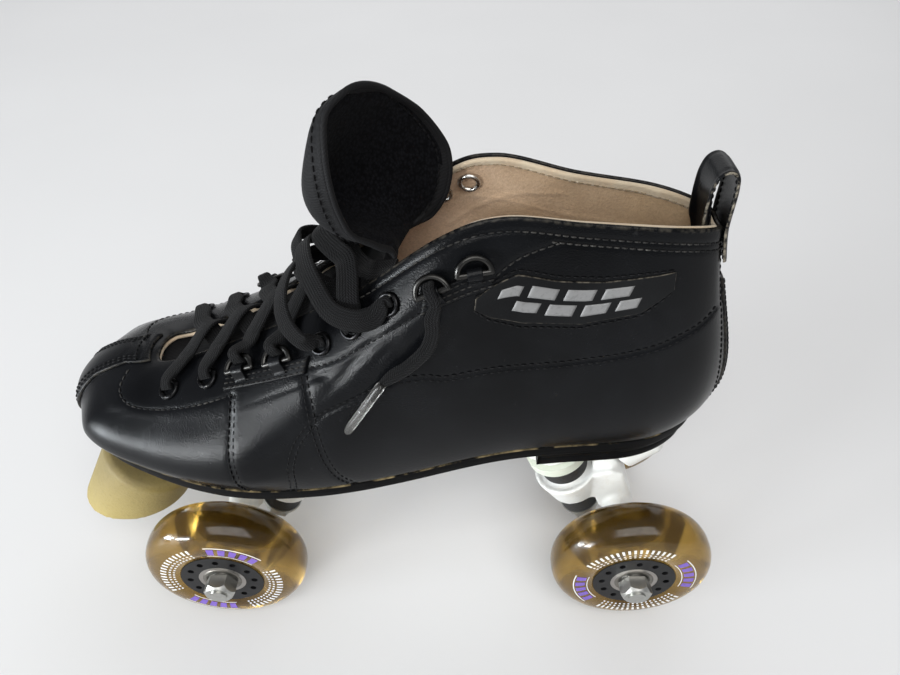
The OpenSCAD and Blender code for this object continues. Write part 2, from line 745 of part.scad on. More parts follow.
// Height of a lace over the middle of the gap: the outer side's laces pass over the others
OVER = 5.6;
UNDER = 2.4;
lace_over = lace_t / 2 + 1;
lace_start = lace_t / 2 + layer_gap;
lace_neck = 2 * eyelet_r - 1.4;
edge_dip = lace_t / 2 + 1.6;
function under_edge(s, side) = face_point(s, 1) + [0, side * (lace_t + 1), -edge_dip];
module lace(i, side) {
    row = LACE_ROWS[i];
    p = row[0];
    s = side_s(p[0], side);
    own_s = side_s(row[1], side);
    far_s = side_s(row[2], -side);
    far = under_edge(far_s, side);
    rise = side > 0 ? OVER : UNDER;
    mid = (face_point(own_s, 1) + face_point(far_s, 1)) / 2 + [0, 0, rise];
    n0 = face_normal(s, p[1]);
    n1 = face_normal(own_s, 0.95);
    nm = unit([0.55, 0, 1]);
    down = -hole_up(p, side);
    start = row[3]
        ? [
            [by_hole(p, side, ring_slot - 0.1, lace_start + 0.4), down],
            [by_hole(p, side, ring_slot, ring_lift), down],
            [by_hole(p, side, ring_slot + 1.2, ring_crest), n0 + down],
            [by_hole(p, side, bow_r + 1, ring_crest + 0.2), n0]
        ]
        : [
            [by_hole(p, side, -0.8, lace_start), n0],
            [by_hole(p, side, eyelet_r + 0.6, rim_crest), n0]
        ];
    edge_v = (p[1] + 1) / 2 + 0.03;
    band(
        concat(
            [for (q = start) q[0]],
            [skin((s + own_s) / 2, edge_v, lace_over + 0.4), skin(own_s, 1, lace_over), mid, far]
        ),
        concat([for (q = start) q[1]], [n1, n1, nm, nm]),
        concat([for (q = start) lace_neck], [lace_w, lace_w, lace_w, lace_w]),
        lace_t, row[3] ? 18 : 13
    );
}
// Flat side of a loose loop faces out of the throat, away from a line along its floor
LOOP_AXIS = [18, 0, 60];
module loop(row) {
    side = row[0];
    p = row[1];
    n0 = face_normal(side_s(p[0], side), p[1]);
    way = [for (q = row[2]) q + [0, 0, deck_z]];
    far_s = side_s(row[3], -side);
    band(
        concat(
            [by_hole(p, side, -0.8, lace_start), by_hole(p, side, 0.6, lace_start + 1.3)],
            way, [under_edge(far_s, side) + [0, side * LOOP_DIVE[0], LOOP_DIVE[1]]]
        ),
        concat(
            [n0, n0],
            [
                for (q = row[2])
                    let (d = q - LOOP_AXIS)
                        unit([max(d[0], 0) * 0.7, d[1], d[2] * 0.6])
            ],
            [unit([0.55, 0, 1])]
        ),
        concat([lace_neck, lace_neck], [for (q = way) lace_w], [lace_w]),
        lace_t, 3 * len(way)
    );
}
module laces() {
    color("#17171a") rig() {
        for (i = [0 : len(LACE_ROWS) - 1]) for (side = [LEFT, RIGHT]) lace(i, side);
        for (row = LOOPS) loop(row);
    }
}

// Free lace end: up through the ankle ring and over its bar, as distances up the wall and out of
// the leather, then down the wall as rib, share of its height and distance out
bar_crest = ring_lift + ring_loop_r + lace_t / 2 + 0.3;
END_START = [
    [ring_slot - 0.1, lace_start + 0.4], [ring_slot - 0.1, ring_lift + 0.2],
    [ring_slot - 1.2, ring_lift + 2.7], [0, bar_crest], [-3.6, bar_crest - 0.2]
];
LACE_END = [
    [4.96, 0.72, 5.2], [4.93, 0.67, 4.5], [4.97, 0.62, 4], [5.14, 0.58, 3.8], [5.3, 0.565, 3.8],
    [5.42, 0.55, 3.8]
];
// The sleeve ends here
AGLET_TIP = [5.68, 0.42, 3.8];
function end_point(q, side) = skin(side_s(q[0], side), q[1], q[2]);
module lace_end(side) {
    n0 = face_normal(side_s(ANKLE_RING[0], side), ANKLE_RING[1]);
    up = hole_up(ANKLE_RING, side);
    pts = concat(
        [for (q = END_START) by_hole(ANKLE_RING, side, q[0], q[1])],
        [for (q = LACE_END) end_point(q, side)]
    );
    ups = concat(
        [up, up, n0 + up, n0, n0],
        [for (q = LACE_END) face_normal(side_s(q[0], side), q[1])]
    );
    color("#17171a") rig() band(
        pts, ups,
        concat([for (q = END_START) lace_neck], [for (k = [2 : len(LACE_END)]) lace_w], [aglet_d - 0.6]),
        lace_t, 26
    );
}
module aglet(side) {
    from = end_point(LACE_END[len(LACE_END) - 1], side);
    way = unit(end_point(AGLET_TIP, side) - from);
    lean = acos(way[2]);
    turn = atan2(way[1], way[0]);
    color("#d9d5cc") rig()
        translate(from + 0.6 * way)
            rotate([0, lean, turn])
                cylinder(d = aglet_d, h = aglet_l);
}

// Strap of the heel loop, from inside the collar, over and down the back: X, Z from the plate's top
// and how far its edges bend forward with the round of the heel
HEEL_LOOP = [
    [-107.1, 94, 2.4], [-106.1, 98, 2.75], [-105.25, 102, 3.2], [-104.5, 106.5, 4.2],
    [-103.4, 112, 3.6], [-102, 118, 2.4], [-101.3, 124, 1.4], [-102.2, 128.8, 0.7],
    [-105, 130.6, 0.4], [-108.2, 128.8, 0.6], [-109.6, 124, 1], [-110.1, 118, 1.2],
    [-110.5, 112, 1.6], [-110.9, 106.5, 1.65], [-112.05, 100, 1.4], [-113.5, 94, 1.4]
];
LOOP_ROWS = 60;
LOOP_COLS = 8;
LOOP_ROUND = 3.2;
function loop_point(t, u, share) =
    let (
        last = len(HEEL_LOOP) - 1,
        p = at(HEEL_LOOP, t),
        way = unit(at(HEEL_LOOP, min(t + 0.1, last)) - at(HEEL_LOOP, max(t - 0.1, 0))),
        d = share * loop_t / 2
    )
    [
        p[0] - d * way[1] + p[2] * pow(abs(u), LOOP_ROUND),
        u * loop_w / 2,
        p[1] + d * way[0] + deck_z
    ];
function loop_grid(share) =
    [
        for (k = [0 : LOOP_ROWS])
            [
                for (j = [0 : LOOP_COLS])
                    loop_point((len(HEEL_LOOP) - 1) * k / LOOP_ROWS, 2 * j / LOOP_COLS - 1, share)
            ]
    ];
module heel_loop() {
    color("#1f2023") rig() sheet(loop_grid(1), loop_grid(-1));
}

// Truck frame: origin at the axle's middle, X towards the middle of the skate
module at_truck(end) {
    translate([end * wheel_base / 2, 0, axle_z])
        mirror([end > 0 ? 1 : 0, 0, 0]) children();
}
// Z along the kingpin from the ring's middle, towards the plate
module along_kingpin() {
    translate([ring_x, 0, ring_z]) rotate([0, kingpin_lean, 0]) children();
}
// Z along the pivot from the ring's middle, towards the plate
module along_pivot() {
    translate([ring_x, 0, ring_z]) rotate([0, -pivot_lean, 0]) children();
}
module both_trucks() {
    for (end = [FRONT, REAR]) at_truck(end) children();
}

// Mounting bolts in the truck frame
BOLTS = [[27, 17], [27, -17], [9, 14], [9, -14]];
function bolt_x(end, p) = end * (wheel_base / 2 - p[0]);
bolt_r = bolt_d / 2;
tee_r = bolt_r + seat_gap + tee_wall;
sole_hole_r = tee_r + layer_gap;
module bolt_holes() {
    for (end = [FRONT, REAR]) for (p = BOLTS)
        translate([bolt_x(end, p), p[1], deck_low])
            cylinder(r = sole_hole_r, h = deck_t + sole_t + heel_rise + toe_spring);
}
module plate_bolts() {
    color("#b9bbbf") rig() for (end = [FRONT, REAR]) for (p = BOLTS) {
        x = bolt_x(end, p);
        translate([x, p[1], deck_low]) {
            cylinder(r = bolt_r, h = sole_top(x) - deck_low - layer_gap);
            translate([0, 0, -bolt_head_h]) cylinder(d = bolt_head_d, h = bolt_head_h);
        }
    }
}
module tee_nuts() {
    color("#a9abae") rig() for (end = [FRONT, REAR]) for (p = BOLTS) {
        x = bolt_x(end, p);
        translate([x, p[1], sole_top(x)]) difference() {
            union() {
                cylinder(d = tee_flange_d, h = tee_flange_t);
                translate([0, 0, -tee_depth]) cylinder(r = tee_r, h = tee_depth + tee_flange_t / 2);
            }
            translate([0, 0, -tee_depth - 1])
                cylinder(r = bolt_r + seat_gap, h = tee_depth + tee_flange_t + 2);
        }
    }
}

// Plate outline from the heel to the toe: X and half width
DECK = [
    [-110, 11], [-105, 16.5], [-92, 21.5], [-52, 26], [-38, 18], [-20, 14],
    [20, 14], [38, 20], [52, 26], [96, 25], [112, 18], [137, 14]
];
kingpin_boss_start = cushion_start + upper_cushion_h + cup_t;
pivot_cup_r = pivot_r + run_gap + pivot_cup_t;
pivot_mouth = pivot_l - 8;
pivot_close = pivot_l + pivot_r + 1;
pivot_cup_end = pivot_close + pivot_cup_t;
// Where the pivot boss meets the plate
pivot_boss_x = ring_x - pivot_l * sin(pivot_lean) - 0.7;
pivot_boss_end = pivot_cup_end + 1.6;
module plate() {
    color("#e4e5e2") rig() difference() {
        union() {
            translate([0, 0, deck_low])
                linear_extrude(deck_t)
                    polygon(concat(
                        [for (p = DECK) [p[0], -p[1]]],
                        [for (k = [len(DECK) - 1 : -1 : 0]) DECK[k]]
                    ));
            for (y = [-rail_gap / 2, rail_gap / 2])
                translate([-wheel_base / 2 + ring_x + 28, y - rail_t / 2, deck_low - rail_h])
                    cube([wheel_base - 2 * ring_x - 56, rail_t, rail_h + 1]);
            both_trucks() {
                along_kingpin()
                    translate([0, 0, kingpin_boss_start])
                        cylinder(r = kingpin_boss_r, h = deck_rise - kingpin_boss_start);
                hull() {
                    along_pivot() translate([0, 0, pivot_mouth])
                        cylinder(r = pivot_boss_r, h = pivot_boss_end - pivot_mouth);
                    translate([pivot_boss_x, 0, deck_rise - deck_t])
                        cylinder(r = pivot_boss_r, h = deck_t / 2);
                }
            }
            along_stop() cylinder(r = stop_boss_r, h = stop_boss_l);
        }
        translate([0, 0, deck_z + 25]) cube([600, 200, 50], center = true);
        both_trucks() {
            along_kingpin() cylinder(r = kingpin_d / 2 + seat_gap, h = kingpin_end);
            along_pivot() {
                cylinder(r = pivot_cup_r + 1, h = pivot_mouth);
                translate([0, 0, pivot_mouth - 1])
                    cylinder(r = pivot_cup_r + seat_gap, h = pivot_cup_end - pivot_mouth + 1);
            }
        }
        along_stop() translate([0, 0, -20]) cylinder(r = stem_r + run_gap, h = 60);
        for (end = [FRONT, REAR]) for (p = BOLTS)
            translate([bolt_x(end, p), p[1], deck_low - 1]) cylinder(r = bolt_r + seat_gap, h = deck_t + 2);
    }
}

// Kingpin reach into the boss, and its end past the nut
kingpin_end = kingpin_boss_start + 14;
lower_cup_end = cushion_start + lower_cushion_h + cup_t;
kingpin_tail = lower_cup_end + kingpin_nut_h + 1.5;
kingpin_hole_r = kingpin_d / 2 + 0.4;
module kingpins() {
    color("#b5b7ba") rig() both_trucks() along_kingpin()
        translate([0, 0, -kingpin_tail]) cylinder(d = kingpin_d, h = kingpin_tail + kingpin_end);
}
module cushion(r, h) {
    difference() {
        translate([0, 0, cushion_start]) cylinder(r = r, h = h);
        sphere(seat_r + tilt_gap);
        cylinder(r = kingpin_hole_r, h = cushion_start + h + 1);
    }
}
module upper_cushions() {
    color("#2a2a2c") rig() both_trucks() along_kingpin() cushion(upper_cushion_r, upper_cushion_h);
}
module lower_cushions() {
    color("#2a2a2c") rig() both_trucks() along_kingpin()
        mirror([0, 0, 1]) cushion(lower_cushion_r, lower_cushion_h);
}
module upper_cup_washers() {
    color("#d5d9cc") rig() both_trucks() along_kingpin()
        translate([0, 0, cushion_start + upper_cushion_h]) difference() {
            translate([0, 0, -cup_lip]) cylinder(r = cup_r, h = cup_lip + cup_t);
            translate([0, 0, -cup_lip - 1]) cylinder(r = upper_cushion_r + layer_gap, h = cup_lip + 1);
            cylinder(r = kingpin_hole_r, h = 3 * cup_t, center = true);
        }
}
module lower_cup_washers() {
    color("#b5b7ba") rig() both_trucks() along_kingpin()
        translate([0, 0, -lower_cup_end]) difference() {
            cylinder(r = lower_cushion_r + 0.5, h = cup_t);
            translate([0, 0, -1]) cylinder(r = kingpin_hole_r, h = cup_t + 2);
        }
}
module hex_nut(af, h, hole_r) {
    difference() {
        cylinder(d = af / cos(30), h = h, $fn = 6);
        translate([0, 0, -1]) cylinder(r = hole_r, h = h + 2);
    }
}
module kingpin_nuts() {
    color("#b5b7ba") rig() both_trucks() along_kingpin()
        translate([0, 0, -lower_cup_end - kingpin_nut_h])
            hex_nut(kingpin_nut_af, kingpin_nut_h, kingpin_d / 2 + seat_gap);
}
module pivot_cups() {
    color("#3a3a3c") rig() both_trucks() along_pivot()
        difference() {
            translate([0, 0, pivot_mouth]) cylinder(r = pivot_cup_r, h = pivot_cup_end - pivot_mouth);
            cylinder(r = pivot_r + run_gap, h = pivot_close);
        }
}

// Side view of the hanger's middle, in the truck frame
HANGER_WEB = [
    [28, 4], [18, 4], [12, 0], [6, -6.6], [0, -8], [-5.6, -5.7], [-7.8, 0], [-6, 7],
    [-2, 16], [1, 24], [7, 26], [12, 24.5], [24, 18]
];
// Where the tapered arm ends and the straight one begins, from the skate's middle plane
arm_bend = 22;
hub_inner_y = track / 2 - half_w;
arm_l = hub_inner_y + bearing_inset - arm_gap;
ring_bore_r = kingpin_d / 2 + 2.4;
lower_recess_r = lower_cushion_r + 3.4;
upper_recess_r = upper_cushion_r + 2.4;
dome_r = 10.2;
pin_root = pivot_mouth - 3;
module hanger(end) {
    color("#eceeea") rig() at_truck(end) {
        difference() {
            union() {
                along_kingpin() translate([0, 0, -ring_low])
                    cylinder(r1 = ring_foot_r, r2 = ring_r, h = ring_low + ring_h + rim_h);
                rotate([90, 0, 0]) linear_extrude(hanger_w, center = true) polygon(HANGER_WEB);
                for (side = [LEFT, RIGHT]) rotate([-90 * side, 0, 0]) {
                    cylinder(r1 = arm_root_r, r2 = arm_r, h = arm_bend);
                    translate([0, 0, arm_bend - 1]) cylinder(r = arm_r, h = arm_l - arm_bend + 1);
                }
                along_pivot() {
                    translate([0, 0, ring_r]) cylinder(r = pivot_r + 2, h = pin_root - ring_r);
                    translate([0, 0, ring_r]) cylinder(r = pivot_r, h = pivot_l - ring_r);
                    translate([0, 0, pivot_l]) sphere(pivot_r);
                }
            }
            along_kingpin() {
                translate([0, 0, ring_h]) cylinder(r = upper_recess_r, h = 60);
                translate([0, 0, -ring_h - 60]) cylinder(r = lower_recess_r, h = 60);
                cylinder(r = ring_bore_r, h = 60, center = true);
            }
            rotate([90, 0, 0]) cylinder(r = axle_d / 2 + seat_gap, h = track, center = true);
        }
        along_kingpin() difference() {
            intersection() {
                sphere(seat_r);
                cylinder(r = dome_r, h = 3 * seat_r, center = true);
            }
            cylinder(r = ring_bore_r, h = 4 * seat_r, center = true);
        }
    }
}

// Stack on an axle, from the skate's middle plane out
bearing_out_y = track / 2 + half_w - bearing_inset;
nut_y = bearing_out_y + washer_t;
axle_half = nut_y + axle_nut_h + axle_end;
module axle(end) {
    color("#c3c5c7") rig() at_truck(end)
        rotate([90, 0, 0]) cylinder(d = axle_d, h = 2 * axle_half, center = true);
}
module axle_sides(end) {
    at_truck(end) for (side = [LEFT, RIGHT]) rotate([-90 * side, 0, 0]) children();
}
module ring_solid(r_in, r_out, h) {
    difference() {
        cylinder(r = r_out, h = h);
        translate([0, 0, -1]) cylinder(r = r_in, h = h + 2);
    }
}
bearing_in_y = hub_inner_y + bearing_inset;
inner_race_r = axle_d / 2 + inner_race_t;
module inner_races(end) {
    color("#cfd1d3") rig() axle_sides(end) {
        translate([0, 0, bearing_in_y]) ring_solid(axle_d / 2 + seat_gap, inner_race_r, bearing_w);
        translate([0, 0, bearing_out_y - bearing_w])
            ring_solid(axle_d / 2 + seat_gap, inner_race_r, bearing_w);
        translate([0, 0, bearing_in_y + bearing_w])
            ring_solid(
                axle_d / 2 + seat_gap, axle_d / 2 + sleeve_t,
                wheel_w - 2 * (bearing_inset + bearing_w)
            );
    }
}
module axle_washers(end) {
    color("#c3c5c7") rig() axle_sides(end)
        translate([0, 0, bearing_out_y]) ring_solid(axle_d / 2 + seat_gap, inner_race_r, washer_t);
}
module axle_nuts(end) {
    color("#c3c5c7") rig() axle_sides(end)
        translate([0, 0, nut_y]) difference() {
            intersection() {
                cylinder(d = axle_nut_af / cos(30), h = axle_nut_h, $fn = 6);
                translate([0, 0, -axle_nut_af * 0.32])
                    cylinder(
                        r1 = axle_nut_af * 1.2, r2 = axle_nut_af * 0.45,
                        h = axle_nut_h + axle_nut_af * 0.32
                    );
            }
            translate([0, 0, -1]) cylinder(r = axle_d / 2 + seat_gap, h = axle_nut_h + 2);
        }
}

// Wheel frame: Z along the axle, pointing out of the skate
module at_wheel(end, side) {
    translate([end * wheel_base / 2, side * track / 2, axle_z]) rotate([-90 * side, 0, 0]) children();
}
TREAD_STEPS = 10;
TREAD_POWER = 2.3;
module tyre(end, side) {
    flat_r = wheel_r - tread_depth;
    tread = [
        for (k = [-TREAD_STEPS : TREAD_STEPS])
            let (a = 90 * k / TREAD_STEPS)
            [
                flat_r + tread_depth * pow(cos(a), 2 / TREAD_POWER),
                half_w * sign(k) * pow(abs(sin(a)), 2 / TREAD_POWER)
            ]
    ];
    color("#8a5a1c") rig() at_wheel(end, side)
        rotate_extrude()
            polygon(concat([[hub_r + seat_gap, -half_w + 0.6]], tread, [[hub_r + seat_gap, half_w - 0.6]]));
}
hub_shoulder = 2;
module hub(end, side) {
    seat_z = half_w - bearing_inset - bearing_w;
    hole_circle = (bearing_od / 2 + hub_r) / 2;
    color("#1b1b1d") rig() at_wheel(end, side) difference() {
        translate([0, 0, -half_w + 0.4]) cylinder(r = hub_r, h = wheel_w - 0.8);
        cylinder(r = bearing_od / 2 - hub_shoulder, h = wheel_w + 2, center = true);
        for (z = [seat_z, -seat_z - wheel_w])
            translate([0, 0, z]) cylinder(r = bearing_od / 2 + seat_gap, h = wheel_w);
        for (k = [0 : hub_holes - 1])
            rotate([0, 0, 360 * k / hub_holes])
                translate([hole_circle, 0, 0])
                    cylinder(d = hub_hole_d, h = wheel_w + 2, center = true, $fn = 24);
    }
}
shield_gap = 0.15;
module bearings(end, side) {
    r_out = bearing_od / 2;
    r_in = r_out - outer_race_t;
    r_shield = inner_race_r + shield_gap;
    pitch = (r_in + inner_race_r) / 2;
    ball_r = (r_in - inner_race_r) / 2 - shield_gap;
    hw = bearing_w / 2;
    color("#bfc1c3") rig() at_wheel(end, side) for (z = [-1, 1])
        translate([0, 0, z * (half_w - bearing_inset - hw)]) {
            rotate_extrude() polygon([
                [r_out, -hw], [r_out, hw], [r_shield, hw], [r_shield, hw - shield_t],
                [r_in, hw - shield_t], [r_in, shield_t - hw], [r_shield, shield_t - hw], [r_shield, -hw]
            ]);
            for (k = [0 : balls - 1])
                rotate([0, 0, 360 * k / balls]) translate([pitch, 0, 0]) sphere(ball_r);
        }
}

// Z along the toe stop's stem, from the plate's top down
module along_stop() {
    translate([stop_x, 0, deck_z]) rotate([0, 180 - stop_lean, 0]) children();
}
stem_top = 8;
stem_end = stop_start + stem_grip;
stop_reach = (deck_z - stop_clear) / cos(stop_lean) + stop_r * tan(stop_lean) + 5;
module toe_stop() {
    color("#d9c68c") rig() difference() {
        along_stop() {
            translate([0, 0, stop_start]) cylinder(r1 = stop_r - stop_edge, r2 = stop_r, h = stop_edge);
            translate([0, 0, stop_start + stop_edge])
                cylinder(r = stop_r, h = stop_reach - stop_start - stop_edge);
        }
        along_stop() cylinder(r = stem_r + seat_gap, h = stem_end + layer_gap);
        translate([stop_x + stop_r, 0, stop_clear - 50]) cube([300, 200, 100], center = true);
    }
}
module toe_stop_stem() {
    color("#b5b7ba") rig() along_stop() translate([0, 0, stem_top])
        cylinder(r = stem_r, h = stem_end - stem_top);
}
module toe_stop_nut() {
    color("#b5b7ba") rig() along_stop()
        translate([0, 0, stop_boss_l]) hex_nut(stop_nut_af, stop_nut_h, stem_r + run_gap);
}

outsole();
heel_block();
upper();
lining();
insole();
toe_strip();
backstay();
side_panel(LEFT);  // side_panel_lateral
side_panel(RIGHT);  // side_panel_medial
forefoot_tabs();
ankle_tabs();
forefoot_rings();
ankle_rings();
top_ring(LEFT);  // top_ring_lateral
top_ring(RIGHT);  // top_ring_medial
eyelets();
tongue_base();
tongue_flap();
laces();
lace_end(LEFT);  // lace_end_lateral
lace_end(RIGHT);  // lace_end_medial
aglet(LEFT);  // aglet_lateral
aglet(RIGHT);  // aglet_medial
heel_loop();
plate();
plate_bolts();
tee_nuts();
kingpins();
upper_cushions();
lower_cushions();
upper_cup_washers();
lower_cup_washers();
kingpin_nuts();
pivot_cups();
hanger(FRONT);  // front_hanger
hanger(REAR);  // rear_hanger
axle(FRONT);  // front_axle
axle(REAR);  // rear_axle
tyre(FRONT, LEFT);  // tyre_front_left
tyre(FRONT, RIGHT);  // tyre_front_right
tyre(REAR, LEFT);  // tyre_rear_left
tyre(REAR, RIGHT);  // tyre_rear_right
hub(FRONT, LEFT);  // hub_front_left
hub(FRONT, RIGHT);  // hub_front_right
hub(REAR, LEFT);  // hub_rear_left
hub(REAR, RIGHT);  // hub_rear_right
bearings(FRONT, LEFT);  // bearings_front_left
bearings(FRONT, RIGHT);  // bearings_front_right
bearings(REAR, LEFT);  // bearings_rear_left
bearings(REAR, RIGHT);  // bearings_rear_right
inner_races(FRONT);  // inner_races_front
inner_races(REAR);  // inner_races_rear
axle_washers(FRONT);  // axle_washers_front
axle_washers(REAR);  // axle_washers_rear
axle_nuts(FRONT);  // axle_nuts_front
axle_nuts(REAR);  // axle_nuts_rear
toe_stop();
toe_stop_stem();
toe_stop_nut();
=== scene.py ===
"""Looks of a quad speed skate for the left foot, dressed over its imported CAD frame.

Lengths in this script are millimetres in the skate's own frame: X to the toe, Y to the outer side of
the foot, Z up from the floor, with X = 0 midway between the axles. row() turns them into the frame's
metres.
"""

import math

import bpy
import numpy as np
from mathutils import Matrix, Vector


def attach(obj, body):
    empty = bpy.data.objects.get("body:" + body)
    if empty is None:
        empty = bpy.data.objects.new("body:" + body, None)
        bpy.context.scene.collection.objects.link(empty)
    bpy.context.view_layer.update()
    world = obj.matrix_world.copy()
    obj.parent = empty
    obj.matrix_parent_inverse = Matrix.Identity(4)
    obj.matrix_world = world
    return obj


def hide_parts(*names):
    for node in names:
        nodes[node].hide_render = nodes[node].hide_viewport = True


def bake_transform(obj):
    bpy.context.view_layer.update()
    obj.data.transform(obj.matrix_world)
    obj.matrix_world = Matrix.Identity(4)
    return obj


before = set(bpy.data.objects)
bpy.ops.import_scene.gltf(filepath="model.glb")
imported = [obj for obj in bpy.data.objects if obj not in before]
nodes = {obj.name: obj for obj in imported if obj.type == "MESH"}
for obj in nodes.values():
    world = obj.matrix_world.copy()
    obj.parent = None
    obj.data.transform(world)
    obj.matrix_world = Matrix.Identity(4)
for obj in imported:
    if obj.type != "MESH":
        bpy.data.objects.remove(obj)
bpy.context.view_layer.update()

# Sizes shared with the part's source
WHEEL_BASE = 195.0
TRACK = 84.0
WHEEL_R = 38.0
HALF_W = 12.0
HUB_R = 19.3
TREAD_DEPTH = 13.0
TREAD_POWER = 2.3
DECK_Z = 96.5
SOLE_T = 6.0
HEEL_RISE = 9.0
TOE_SPRING = 9.0
SPRING_X = 92.0
SHANK_X = 28.0
SHANK_L = 75.0
UPPER_T = 1.8
LAYER_GAP = 0.2
LINING_OUT = 2.0
LINING_IN = 3.4
STRIP_TOP = 1.4
TONGUE_T = 5.0
LACE_W = 6.5
LACE_T = 1.9
LACE_NECK = 4.0
ROW_W = 8.2
ROW_NECK = 4.8
WIRE_R = 1.1
BOW_R = 5.8
RING_LIFT = 2.7
RING_SLOT = 3.33
EYELET_R = 2.7
# The frame's origin lies this far in front of the middle of the axles
MID_X = 22.8681
MM = 0.001

# Stations from the heel to the toe: sole X, outer Y, inner Y, top line X, half width, Z from the plate
STATIONS = np.array([
    [-121, 0, 0, -109.5, 0, 106.5],
    [-113, 16, -16, -106, 9, 109],
    [-92, 27.5, -27, -88, 16, 113],
    [-56, 31.5, -29, -58, 19, 117],
    [-22, 35.5, -29, -28, 23, 122],
    [12, 41, -33, -6, 24, 114.5],
    [46, 47, -41, 26, 19, 87.5],
    [80, 47.5, -46, 66, 12, 62.5],
    [116, 38, -42, 98, 9.5, 47],
    [143, 24, -31, 112, 8.5, 43],
    [156, -3, -3, 115, 0, 43],
], float)
# Swell of each station's wall: out and up from the sole, out and down from the top line
SWELL = np.array([
    [20, 20, 6, 38],
    [14, 20, 6, 37],
    [9, 20, 7, 34],
    [8, 22, 9, 30],
    [6, 26, 11, 26],
    [6, 26, 14, 17],
    [6, 22, 20, 9],
    [7, 18, 25, 4],
    [7, 14, 25, 2],
    [7, 11, 23, 2],
    [7, 9, 23, 0],
], float)
LAST = len(STATIONS) - 1
RIBS = 2 * LAST
LEVEL_V = 0.15

EYELETS = [(7.95, 0.76), (7.45, 0.79), (6.25, 0.8), (5.95, 0.82), (5.55, 0.84)]
FORE_RINGS = [(7.02, 0.78), (6.62, 0.77)]
ANKLE_RING = (5.0, 0.8)
TOP_RING = (4.42, 0.828)
GROMMET = (4.97, 0.846)
# Any way that no tube runs along
TUBE_SIDE = (0.31, 0.52, 0.79)


# Points, curves and the boot's face

def row(points):
    """Points of the skate's frame, in millimetres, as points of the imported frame, in metres."""
    return (np.asarray(points, float) - [MID_X, 0, 0]) * MM


def unit(a):
    return a / np.linalg.norm(a, axis=-1, keepdims=True)


def smooth(t):
    t = np.clip(t, 0, 1)
    return t * t * (3 - 2 * t)


def bell(x, wide):
    return np.exp(-(x / wide) ** 2)


def power(x, p):
    """A power that keeps the sign."""
    return np.sign(x) * np.abs(x) ** p


def run_along(points):
    """Length from the first point of a polyline to each point."""
    return np.r_[0, np.cumsum(np.linalg.norm(np.diff(points, axis=0), axis=1))]


def sole_low(x):
    toe = np.maximum(0, (x - SPRING_X) / (STATIONS[LAST, 0] - SPRING_X))
    return DECK_Z + TOE_SPRING * toe ** 2 + HEEL_RISE * smooth((SHANK_X - x) / SHANK_L)


def sole_top(x):
    return sole_low(x) + SOLE_T


def edge_point(i, side):
    return np.array([STATIONS[i, 0], STATIONS[i, 1 if side > 0 else 2]])


def outward(i, side):
    if i == 0:
        return np.array([-1.0, 0, 0])
    if i == LAST:
        return np.array([1.0, 0, 0])
    d = unit(edge_point(i + 1, side) - edge_point(i - 1, side))
    return side * np.array([-d[1], d[0], 0])


def rib_controls(rib):
    i = rib if rib <= LAST else RIBS - rib
    side = 1 if rib <= LAST else -1
    e = edge_point(i, side)
    out = outward(i, side)
    foot = np.array([e[0], e[1], sole_top(e[0])])
    top = np.array([STATIONS[i, 3], side * STATIONS[i, 4], DECK_Z + STATIONS[i, 5]])
    low = foot + SWELL[i, 0] * out + [0, 0, SWELL[i, 1]]
    high = top + SWELL[i, 2] * out - [0, 0, SWELL[i, 3]]
    return np.stack([foot, low, high, top])


CONTROLS = np.stack([rib_controls(rib) for rib in range(RIBS)])


def curve(a, b, c, d, t):
    """A point between b and c of a smooth curve through a, b, c and d."""
    return (2 * b + (c - a) * t + (2 * a - 5 * b + 4 * c - d) * t * t + (3 * b - a - 3 * c + d) * t ** 3) / 2


def bezier_weights(v):
    w = 1 - v
    return np.stack([w ** 3, 3 * v * w * w, 3 * v * v * w, v ** 3], -1)


def face_point(s, v):
    """A point of the boot's outer face: s counts ribs round the boot, v runs from the sole to the top."""
    s, v = np.broadcast_arrays(np.asarray(s, float), np.asarray(v, float))
    i = np.floor(s).astype(int)
    t = (s - i)[..., None, None]
    near = [CONTROLS[(i + k) % RIBS] for k in (-1, 0, 1, 2)]
    c = curve(*near, t)
    p = (bezier_weights(v)[..., None] * c).sum(-2)
    p[..., 2] += (sole_top(c[..., 0, 0]) - c[..., 0, 2]) * (1 - v) ** 3
    return p


def along_ribs(s, v):
    return unit(face_point(np.asarray(s) + 0.02, v) - face_point(np.asarray(s) - 0.02, v))


def up_rib(s, v):
    return unit(face_point(s, np.asarray(v) + 0.02) - face_point(s, np.asarray(v) - 0.02))


def face_normal(s, v):
    return unit(np.cross(up_rib(s, v), along_ribs(s, v)))


def skin(s, v, d):
    """The face moved out by d; the way out turns level at the sole, so that every layer stands on it."""
    n = face_normal(s, v).copy()
    n[..., 2] *= smooth(np.asarray(v) / LEVEL_V)
    return face_point(s, v) + np.asarray(d, float)[..., None] * unit(n)


def side_s(s, side):
    """The same rib on the outer side, 1, or the inner side, -1."""
    return s if side > 0 else RIBS - s


def hole_axes(p, side):
    """A lacing point with its ways up the wall and out of the leather."""
    place = side_s(p[0], side), p[1]
    out = face_normal(*place)
    return face_point(*place), np.cross(along_ribs(*place), out), out


def by_hole(p, side, y, h):
    """A point y up the wall and h out of the leather from a lacing point."""
    base, up, out = hole_axes(p, side)
    return base + y * up + h * out


def spline(points, t):
    """Points at places t, counted in stations, of a smooth curve through the given ones."""
    points = np.asarray(points, float)
    t = np.asarray(t, float)
    last = len(points) - 1
    i = np.clip(np.floor(t).astype(int), 0, last - 1)
    u = (t - i).reshape(t.shape + (1,) * (points.ndim - 1))
    return curve(points[np.maximum(i - 1, 0)], points[i], points[i + 1], points[np.minimum(i + 2, last)], u)


